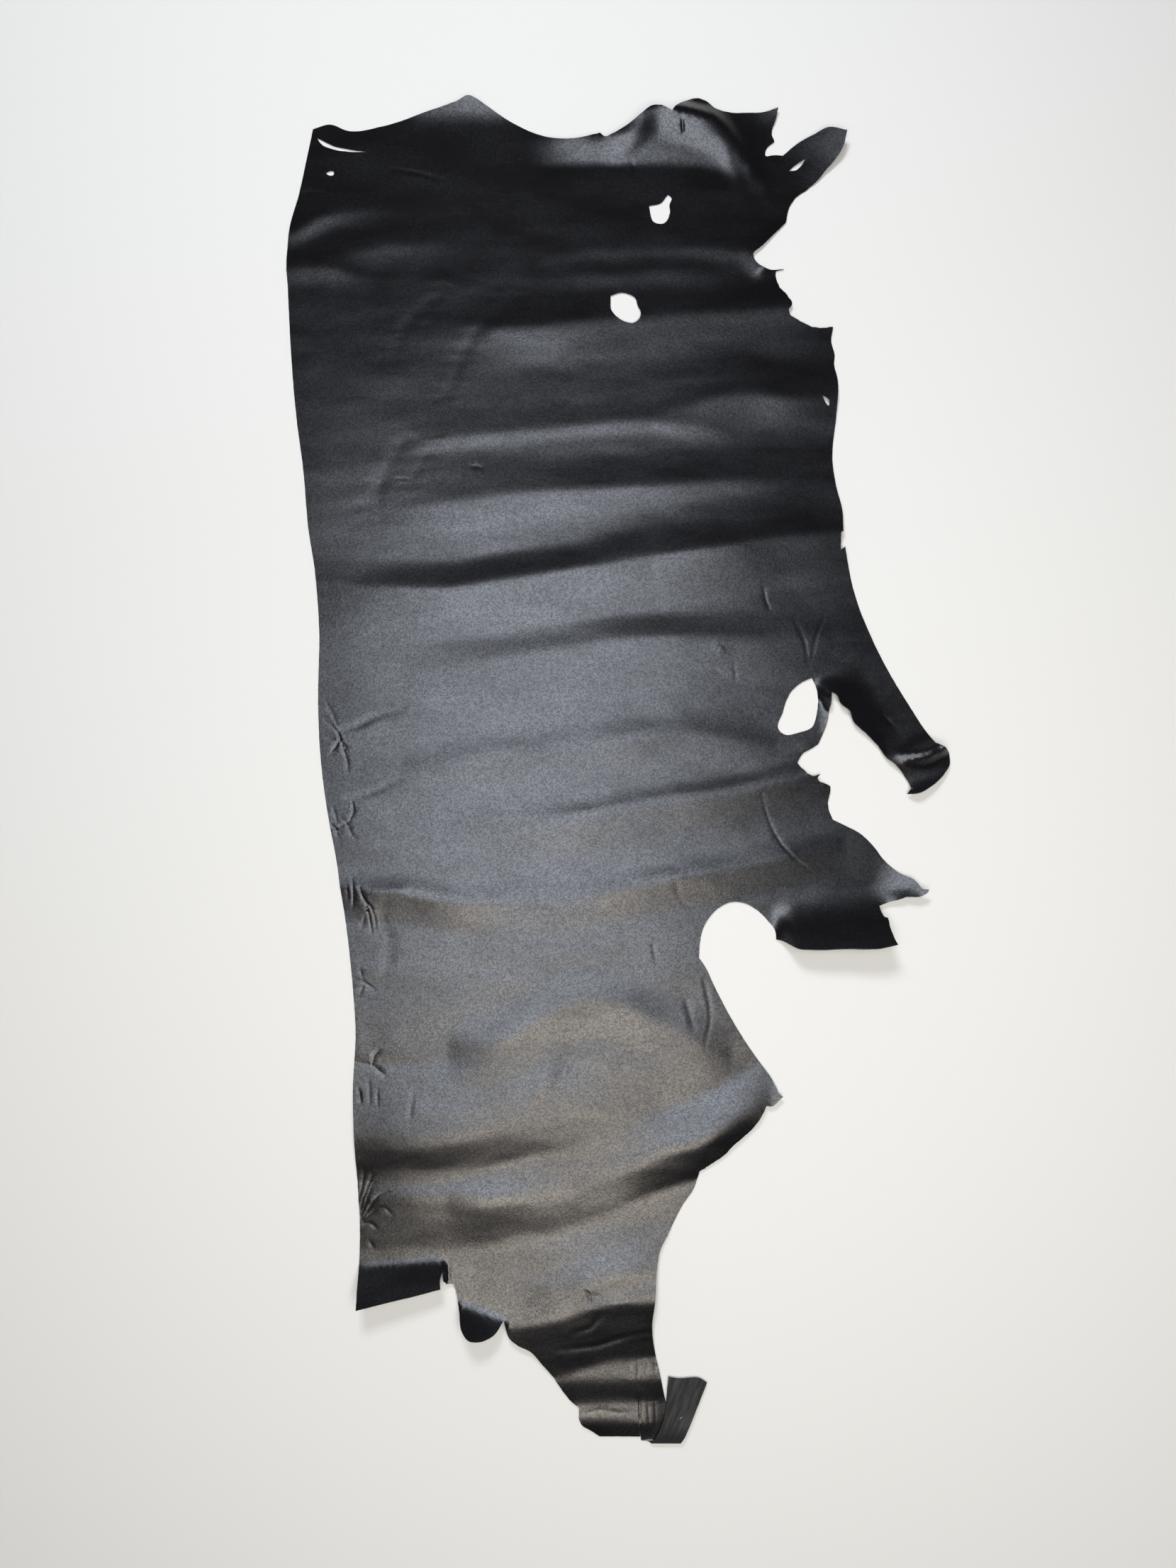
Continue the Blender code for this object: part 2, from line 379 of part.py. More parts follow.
def lift_height(x, y, start_x, start_y, heading, reach, height, left, right, softness, shape):
    ahead_x, ahead_y = math.cos(math.radians(heading)), math.sin(math.radians(heading))
    along = (x - start_x) * ahead_x + (y - start_y) * ahead_y
    across = (y - start_y) * ahead_x - (x - start_x) * ahead_y
    sides = ease((left - across) / softness) * ease((right + across) / softness)
    share = np.clip(along / reach, 0.0, LIFT_LIMIT)
    return height * share**shape * sides * ease((LIFT_LIMIT - share) / LIFT_FADE)


def ground_height(x, y):
    """Height of the flesh side above the ground, 0 where the hide lies flat."""
    height = np.zeros_like(x)
    for _, crest, butt_flank, neck_flank, rounding, shape in RIDGES:
        height += ridge_height(x, y, crest, butt_flank, neck_flank, rounding, shape)
    for _, *numbers in LIFTS:
        height += lift_height(x, y, *numbers)
    return height


def lay_out(flat):
    """Place flat points on the ground: ridges and lifts first, then the strip folded over."""
    x, y = flat.T
    beyond = np.clip(STRIP_BEND_START - y, 0.0, None)
    turn = np.clip(beyond / STRIP_BEND_RADIUS, 0.0, math.pi)
    run_back = np.clip(beyond - BEND_ARC, 0.0, None)
    sink = (2.0 * STRIP_BEND_RADIUS - STRIP_END_HEIGHT) * (run_back / STRIP_LENGTH)**1.5
    fade = ease((y - STRIP_BEND_START) / RELIEF_FADE)
    fade = np.where(x < STRIP_INNER_X, 1.0, fade)
    height = ground_height(x, y) * fade + STRIP_BEND_RADIUS * (1.0 - np.cos(turn)) - sink
    place_y = np.maximum(y, STRIP_BEND_START) - STRIP_BEND_RADIUS * np.sin(turn) + run_back
    return np.column_stack([x, place_y, height])


def corner_normals(points, faces):
    """Upward direction of the sheet at each point, from the triangles around it."""
    a, b, c = (points[faces[:, k]] for k in range(3))
    face_normals = np.cross(b - a, c - a)
    normals = np.zeros_like(points)
    for k in range(3):
        np.add.at(normals, faces[:, k], face_normals)
    return normals / np.linalg.norm(normals, axis=1)[:, None]


def free_edges(faces):
    """Edges with a triangle on one side only, in the direction of that triangle."""
    directed = {(a, b) for tri in faces for a, b in zip(tri, np.roll(tri, -1))}
    return [(a, b) for a, b in directed if (b, a) not in directed]


def leather_material():
    material = bpy.data.materials.new("black_grain_leather")
    material.use_nodes = True
    shader = material.node_tree.nodes["Principled BSDF"]
    shader.inputs["Base Color"].default_value = (0.012, 0.012, 0.014, 1.0)
    shader.inputs["Roughness"].default_value = 0.42
    shader.inputs["Metallic"].default_value = 0.0
    return material


def make_side(name):
    """The hide as one closed solid: flesh side, grain side and the cut edge between them."""
    loops = cut_loops()
    flat, faces = flat_mesh(loops, mesh_points(loops))
    flesh = lay_out(flat)
    grain = flesh + HIDE_THICKNESS * corner_normals(flesh, faces)
    count = len(flesh)
    rim = []
    for a, b in sorted(free_edges(faces.tolist())):
        rim += [(a, b, b + count), (a, b + count, a + count)]
    points = np.concatenate([flesh, grain])
    middle = 0.5 * (points.min(axis=0) + points.max(axis=0))
    points -= (middle[0], middle[1], points[:, 2].min())
    triangles = [tuple(tri[::-1]) for tri in faces.tolist()]
    triangles += [tuple(corner + count for corner in tri) for tri in faces.tolist()]
    triangles += rim

    mesh = bpy.data.meshes.new(name)
    mesh.from_pydata((points * CM).tolist(), [], triangles)
    mesh.validate()
    mesh.update()
    mesh.materials.append(leather_material())
    side = bpy.data.objects.new(name, mesh)
    bpy.context.scene.collection.objects.link(side)
    return side


for old in list(bpy.data.objects):
    bpy.data.objects.remove(old, do_unlink=True)

leather_side = make_side("leather_side")
print("triangles", len(leather_side.data.polygons), "size", tuple(leather_side.dimensions))
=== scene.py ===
# %% [markdown]
# # A side of black leather
#
# A cow hide is parted along the backbone before it is tanned, and each half is called a side. This one
# is chrome-tanned, dyed black in the drum, and left with its own grain. It lies grain side up, as it
# comes off a roll: low ridges still cross it, its free ends curl up, and a torn strip at the neck has
# folded over to show the flesh side.
#
# It is one sheet, so it is one mesh here: the cut shape is drawn flat, filled with fine triangles, and
# laid on the ground by a height that is worked out for each point.

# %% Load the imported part
import math

import bpy
import numpy as np
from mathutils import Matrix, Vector, noise
from mathutils.geometry import delaunay_2d_cdt
from mathutils.kdtree import KDTree


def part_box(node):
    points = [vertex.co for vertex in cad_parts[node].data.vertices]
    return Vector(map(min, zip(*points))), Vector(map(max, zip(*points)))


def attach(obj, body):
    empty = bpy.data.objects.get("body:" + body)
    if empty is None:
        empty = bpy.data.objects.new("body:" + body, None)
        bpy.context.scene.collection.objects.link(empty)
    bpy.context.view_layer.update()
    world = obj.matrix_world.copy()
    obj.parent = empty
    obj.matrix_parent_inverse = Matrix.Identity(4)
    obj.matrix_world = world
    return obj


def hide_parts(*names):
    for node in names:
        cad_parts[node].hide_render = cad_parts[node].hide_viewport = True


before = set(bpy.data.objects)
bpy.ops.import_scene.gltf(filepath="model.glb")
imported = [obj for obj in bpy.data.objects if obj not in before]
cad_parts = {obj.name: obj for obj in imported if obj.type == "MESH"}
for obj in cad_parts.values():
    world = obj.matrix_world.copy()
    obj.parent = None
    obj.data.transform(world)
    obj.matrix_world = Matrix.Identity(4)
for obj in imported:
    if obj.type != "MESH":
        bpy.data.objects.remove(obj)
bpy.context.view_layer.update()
part_low, part_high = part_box("leather_side")
print("CAD box, m:", [round(v, 4) for v in (*part_low, *part_high)])

# %% [markdown]
# ## Sizes
#
# Centimetres are handy for a hide, so every table below is in centimetres and is turned to metres once,
# when the mesh is made. X runs from the backbone edge to the belly edge, and Y from the neck to the butt.

# %% Sizes
CM = 0.01
HIDE_THICKNESS = 0.20        # about 5 ounces to the square foot
EDGE_STEP = 0.36             # between two points of the cut edge
MESH_PITCH_X = 1.15          # triangles are longer along the ridges
MESH_PITCH_Y = 0.51          # than across them
CREASE_PITCH = 0.26          # and much finer around a crease
EDGE_CLEARANCE = 0.20        # inner points keep this far from the cut edge

STRIP_BEND_RADIUS = 0.50     # of the flesh side, which is the outer side of the bend
STRIP_BEND_START = -118.2    # Y at which the strip starts to turn up
STRIP_END_HEIGHT = 0.55      # of the strip's flesh side at its torn end
STRIP_LENGTH = 11.5
STRIP_INNER_X = 4.8          # the hide folds over on the belly side of this line
BEND_ARC = math.pi * STRIP_BEND_RADIUS
print("length over the bend, cm:", round(BEND_ARC, 2))

# %% [markdown]
# ## The cut shape
#
# The backbone edge is one long knife cut, nearly straight. The belly side keeps the outline of the
# animal: shanks, flank, brisket and neck, trimmed and torn. Each stretch of the outline is one smooth
# curve through a few points, and stretches meet in corners. The holes are real holes in the sheet.

# %% The outline, clockwise from the tail corner
OUTLINE = [
    ("tail corner", [(-53.7, 112.7), (-50.7, 113.5), (-47.6, 112.4), (-41.0, 113.3), (-34.0, 115.5),
                     (-28.2, 117.3), (-26.2, 118.1), (-24.6, 117.5)]),
    ("butt hollow", [(-24.6, 117.5), (-18.0, 113.5), (-12.0, 110.9), (-8.0, 110.6), (-3.1, 111.5)]),
    ("butt nick", [(-3.1, 111.5), (-2.4, 110.9), (-0.5, 111.4)]),
    ("butt lip", [(-0.5, 111.4), (2.0, 112.7), (4.0, 114.2), (6.0, 115.5), (7.6, 115.5), (9.4, 114.7)]),
    ("butt end", [(9.4, 114.7), (11.2, 116.6), (13.8, 117.8), (15.8, 117.1), (17.0, 115.8),
                  (19.6, 115.4), (23.0, 115.5), (26.1, 115.6), (28.2, 116.2)]),
    ("hock notch", [(28.2, 116.2), (27.7, 114.0), (27.1, 112.1), (27.6, 110.5)]),
    ("hock notch", [(27.6, 110.5), (26.1, 109.1), (26.0, 108.0), (27.6, 108.1), (29.1, 108.0)]),
    ("hind shank inner side", [(29.1, 108.0), (31.7, 110.0), (34.7, 111.4), (36.6, 112.2),
                               (40.0, 111.4)]),
    ("hind shank outer side", [(40.0, 111.4), (39.3, 108.7), (38.2, 107.0), (36.6, 105.3), (35.0, 103.4),
                               (33.3, 102.0), (31.3, 100.5), (30.2, 98.8), (29.6, 96.2)]),
    ("flank", [(29.6, 96.2), (27.8, 94.4), (25.5, 92.1), (23.8, 90.4), (24.4, 89.2), (26.4, 88.0),
               (29.3, 88.0)]),
    ("flank tear", [(29.3, 88.0), (27.9, 87.6), (28.5, 84.7)]),
    ("flank tear", [(28.5, 84.7), (29.9, 83.0), (30.6, 81.6), (30.0, 80.7)]),
    ("flank tear", [(30.0, 80.7), (30.2, 80.0), (31.7, 79.0), (33.3, 78.2), (34.6, 77.7), (37.9, 77.8)]),
    ("belly edge", [(37.9, 77.8), (37.6, 75.3), (38.2, 72.9), (38.1, 71.3), (38.6, 68.9), (38.4, 62.0),
                    (37.8, 54.0), (38.3, 50.0), (39.4, 45.4), (39.5, 41.6)]),
    ("belly nick", [(39.5, 41.6), (39.1, 41.5)]),
    ("belly nick", [(39.1, 41.5), (39.1, 38.4)]),
    ("belly nick", [(39.1, 38.4), (39.9, 39.0)]),
    ("fore shank outer side", [(39.9, 39.0), (40.7, 35.0), (42.3, 29.0), (44.1, 24.3), (48.0, 16.6),
                               (52.3, 9.6), (55.6, 4.4)]),
    ("fore shank end", [(55.6, 4.4), (56.8, 3.9), (58.1, 2.8), (58.4, 0.9), (57.2, -1.1), (54.8, -3.2),
                        (52.7, -4.3), (51.0, -4.5)]),
    ("fore shank inner side", [(51.0, -4.5), (51.4, -3.6), (50.4, -1.2), (48.8, 0.7)]),
    ("fore shank inner side", [(48.8, 0.7), (47.0, 2.1), (45.7, 4.0), (43.4, 6.3), (41.1, 8.6),
                               (40.7, 10.1), (39.1, 11.3), (38.3, 12.9), (37.5, 13.4)]),
    ("armpit strap", [(37.5, 13.4), (37.3, 11.0), (36.9, 8.3), (36.1, 6.0), (35.3, 4.3)]),
    ("armpit strap", [(35.3, 4.3), (33.8, 3.4), (32.4, 2.4), (31.6, 1.0)]),
    ("brisket tears", [(31.6, 1.0), (33.5, -0.9), (34.6, -1.2), (35.6, -0.9)]),
    ("brisket tears", [(35.6, -0.9), (35.2, -1.6), (37.4, -3.1)]),
    ("brisket tears", [(37.4, -3.1), (37.2, -5.0), (37.0, -6.7), (37.5, -8.0), (37.9, -9.0)]),
    ("brisket edge", [(37.9, -9.0), (40.0, -10.0), (42.8, -11.5), (45.0, -13.6), (47.0, -16.2),
                      (49.8, -18.5), (52.0, -19.5), (53.3, -21.1)]),
    ("brisket slit", [(53.3, -21.1), (54.4, -21.2), (54.1, -21.7), (50.3, -22.6), (45.9, -24.1)]),
    ("brisket slit", [(45.9, -24.1), (46.0, -24.8), (46.4, -25.7), (46.6, -26.0), (47.1, -26.1)]),
    ("brisket slit", [(47.1, -26.1), (47.4, -28.4), (48.1, -30.4)]),
    ("brisket lower edge", [(48.1, -30.4), (45.3, -31.0), (39.0, -31.2), (33.4, -31.4), (31.0, -31.2),
                            (29.8, -30.6), (28.9, -30.2), (28.0, -30.1)]),
    ("throat arch", [(28.0, -30.1), (27.9, -28.8), (26.4, -26.7), (24.4, -24.8), (22.3, -23.7),
                     (20.0, -23.5), (18.3, -24.2), (16.3, -26.0), (15.1, -28.0), (14.5, -30.5),
                     (14.3, -33.3)]),
    ("neck flare", [(14.3, -33.3), (15.4, -34.9), (17.0, -38.3), (19.5, -43.1), (21.9, -47.2),
                    (24.7, -51.3), (26.9, -54.3), (28.0, -56.3)]),
    ("neck flare tip", [(28.0, -56.3), (28.1, -56.8), (29.0, -57.6)]),
    ("neck flare tip", [(29.0, -57.6), (26.8, -59.3), (26.1, -59.2)]),
    ("neck shoulder", [(26.1, -59.2), (25.2, -61.0), (23.1, -63.8), (20.5, -66.0), (18.6, -68.0),
                       (16.4, -69.5), (14.4, -70.8)]),
    ("neck right edge", [(14.4, -70.8), (13.3, -74.1), (11.6, -76.6), (8.7, -82.2), (7.4, -84.7),
                         (6.8, -88.0), (6.5, -92.8), (6.0, -98.2), (6.3, -101.2), (7.7, -107.9),
                         (8.4, -111.3), (9.7, -114.8), (11.1, -118.2)]),
    ("strip right edge", [(11.1, -118.2), (10.9, -119.0), (11.7, -120.4), (12.9, -123.1),
                          (14.4, -126.8), (15.7, -130.0)]),
    ("strip torn end", [(15.7, -130.0), (14.4, -130.75), (12.6, -130.85), (11.0, -130.65),
                        (8.9, -131.0)]),
    ("strip left edge", [(8.9, -131.0), (8.5, -127.0), (8.2, -124.2), (7.2, -121.4), (6.3, -119.8),
                         (5.6, -118.7), (5.0, -118.4)]),
    ("tongue end", [(5.0, -118.4), (4.2, -118.3)]),
    ("neck cut", [(4.1, -118.3), (3.86, -116.0), (3.62, -113.3), (3.5, -110.5)]),
    ("neck cut", [(3.5, -110.5), (3.54, -113.3), (3.78, -116.0), (3.96, -117.6)]),
    ("neck end", [(3.96, -117.6), (-3.2, -117.6)]),
    ("neck end", [(-3.2, -117.6), (-4.9, -116.4), (-6.3, -115.5), (-6.8, -114.5)]),
    ("neck end", [(-6.8, -114.5), (-6.8, -112.5)]),
    ("neck left edge", [(-6.8, -112.5), (-8.1, -111.5), (-9.3, -110.0), (-11.3, -107.0)]),
    ("neck left edge", [(-11.3, -107.0), (-13.4, -104.5), (-15.3, -102.3), (-17.6, -101.1),
                        (-19.1, -99.7), (-19.6, -98.2), (-20.0, -96.7)]),
    ("cheek tongue", [(-20.0, -96.7), (-21.6, -98.6), (-24.0, -99.3), (-25.9, -99.0), (-27.2, -97.6),
                      (-27.8, -95.0), (-28.4, -91.8)]),
    ("cheek tongue", [(-28.4, -91.8), (-29.0, -90.6), (-30.2, -90.6)]),
    ("cheek slit", [(-30.2, -90.6), (-30.5, -89.9), (-30.8, -88.2)]),
    ("cheek slit", [(-30.8, -88.2), (-31.05, -89.2), (-30.9, -90.5)]),
    ("shoulder flap", [(-30.9, -90.5), (-34.8, -91.4), (-39.7, -92.4), (-45.3, -93.6)]),
    ("backbone edge", [(-45.3, -93.6), (-45.5, -89.6), (-45.4, -80.8), (-46.2, -67.0), (-46.6, -56.4),
                       (-46.2, -46.0), (-46.7, -38.4), (-48.0, -26.5), (-49.6, -16.0), (-51.3, -6.7),
                       (-52.4, 2.4), (-52.8, 12.8), (-52.6, 24.0), (-53.3, 34.5), (-54.5, 42.1),
                       (-55.4, 52.5), (-56.6, 61.7), (-57.7, 75.4), (-58.1, 84.0), (-58.3, 89.8),
                       (-57.6, 95.9), (-56.0, 101.9), (-54.8, 107.5), (-53.7, 112.7)]),
]
print("stretches:", len(OUTLINE))

# %% The holes
HOLES = [
    ("tail slit", [(-53.0, 111.2), (-50.2, 109.8), (-46.9, 109.1), (-44.2, 108.7), (-47.0, 108.7),
                   (-50.4, 109.2), (-52.3, 110.1)]),
    ("tail nick", [(-51.5, 104.9), (-50.9, 105.3), (-50.0, 105.2), (-50.1, 104.6), (-50.8, 104.5)]),
    ("rump hole", [(5.5, 99.2), (7.6, 99.7), (9.0, 101.1), (9.5, 100.6), (9.1, 99.4), (9.2, 98.0),
                   (8.2, 96.1), (6.3, 96.3), (5.7, 98.0)]),
    ("loin hole", [(-1.3, 83.3), (0.7, 83.9), (2.0, 83.6), (3.2, 82.8), (3.4, 81.8), (4.1, 80.2),
                   (3.6, 79.0), (2.5, 78.4), (1.5, 78.6), (0.1, 79.3), (-1.0, 80.5)]),
    ("belly hole", [(35.9, 65.7), (37.2, 64.8), (37.1, 63.8), (36.3, 64.7)]),
    ("hind shank slit", [(30.1, 105.3), (31.4, 105.4), (33.0, 107.3), (31.0, 106.1)]),
    ("armpit hole", [(34.2, 16.0), (32.2, 15.1), (30.6, 13.6), (29.0, 9.8), (28.3, 7.0), (29.4, 6.0),
                     (32.0, 6.4), (34.1, 7.2), (35.2, 10.4), (35.1, 14.2)]),
    ("strip slit", [(10.6, -123.3), (11.0, -124.0), (11.5, -124.3), (11.1, -123.6)]),
]
print("holes:", len(HOLES))

# %% [markdown]
# ## Smooth curves
#
# A Hermite curve goes through every point of a table and takes its slope from the neighbours, so short
# tables of points are enough. The same function also draws the crest lines of the ridges further down.

# %% Curves through points
def smooth_line(knots, values, at):
    """Smooth curve through values at rising knots, read at the places in at. Ends are held."""
    knots = np.asarray(knots, float)
    values = np.asarray(values, float)
    if len(knots) > 2:
        slopes = np.gradient(values, knots, axis=0)
    else:
        slopes = np.repeat((values[1:] - values[:-1]) / (knots[1] - knots[0]), 2, axis=0)
    at = np.clip(at, knots[0], knots[-1])
    left = np.clip(np.searchsorted(knots, at, side="right") - 1, 0, len(knots) - 2)
    span = knots[left + 1] - knots[left]
    t = (at - knots[left]) / span
    if values.ndim > 1:
        t, span = t[:, None], span[:, None]
    return ((2 * t**3 - 3 * t**2 + 1) * values[left] + (t**3 - 2 * t**2 + t) * span * slopes[left]
            + (3 * t**2 - 2 * t**3) * values[left + 1] + (t**3 - t**2) * span * slopes[left + 1])


def along_curve(points, step, closed_end=False):
    """Points along the smooth curve through points, one every step or closer."""
    points = np.array(points, float)
    lengths = np.hypot(*np.diff(points, axis=0).T)
    knots = np.concatenate([[0.0], np.cumsum(lengths)])
    places = []
    for start, length in zip(knots, lengths):
        pieces = max(1, math.ceil(length / step))
        places += [start + length * k / pieces for k in range(pieces)]
    if closed_end:
        places.append(knots[-1])
    return smooth_line(knots, points, np.array(places))


def ease(share):
    """Smooth step from 0 to 1."""
    share = np.clip(share, 0.0, 1.0)
    return share * share * (3.0 - 2.0 * share)


# %% [markdown]
# ## A cut edge is never quite even
#
# A knife wanders by a fraction of a millimetre, and a tear leaves small steps and fibres. Each stretch
# gets a little sideways noise, more where the hide is torn than where it is cut. Blender starts its
# vector noise at a new random place in every session, so a fixed seed keeps the edge the same each time.

# %% The edge, cut or torn
TORN_WANDER = {"flank tear": 0.14, "brisket tears": 0.16, "brisket slit": 0.10, "neck shoulder": 0.09,
               "hock notch": 0.08, "strip torn end": 0.10, "hind shank outer side": 0.06,
               "fore shank inner side": 0.07, "armpit strap": 0.06, "butt end": 0.05}
CUT_WANDER = 0.025           # cm
HOLE_WANDER = 0.05           # cm
WANDER_SIZE = 1.1            # cm, length of one small step of the edge
FINE_STEPS = 3.1             # finer steps, this many times as many and half as large, ride on top
WANDER_SEED = 5
OUTLINE_NOISE_STEP = 0.37    # each stretch of the outline reads the noise at its own depth,
HOLE_NOISE_START = 20.0      # and the holes read it far from the outline
noise.seed_set(WANDER_SEED)


def wander(points, amount, depth):
    """Shift points sideways by smooth noise, and leave the first one where it is."""
    shifted = points.copy()
    for k, (x, y) in enumerate(points):
        place = Vector((x / WANDER_SIZE, y / WANDER_SIZE, depth))
        fine = Vector((FINE_STEPS * x / WANDER_SIZE, FINE_STEPS * y / WANDER_SIZE, depth + 7.0))
        fade = min(1.0, k / 3.0, (len(points) - k) / 3.0)
        move = noise.noise_vector(place) + 0.5 * noise.noise_vector(fine)
        shifted[k] += amount * fade * np.array((move.x, move.y))
    return shifted


def cut_loops():
    """The outline and the holes of the flat cut shape, each as a closed loop of points."""
    stretches = []
    for number, (name, points) in enumerate(OUTLINE):
        amount = TORN_WANDER.get(name, CUT_WANDER)
        stretches.append(wander(along_curve(points, EDGE_STEP), amount, OUTLINE_NOISE_STEP * number))
    loops = [np.concatenate(stretches)]
    for number, (name, points) in enumerate(HOLES):
        curve = along_curve(points + points[:1], EDGE_STEP)
        loops.append(wander(curve, HOLE_WANDER, HOLE_NOISE_START + number))
    return loops


loops = cut_loops()
print("edge points:", [len(loop) for loop in loops])

# %% [markdown]
# ## Relief: ridges and curled ends
#
# Leather that was rolled keeps a memory of the roll. Ridges run across the hide, each with its own crest
# line, and the two sides of a ridge can be of different width. Between the ridges the hide lies flat on
# the ground. Ends and flaps curl up: each starts on a line and rises towards its free edge. The last
# number of a row is its shape: at 1 the slope is straight, and at 2 it eases in or out.

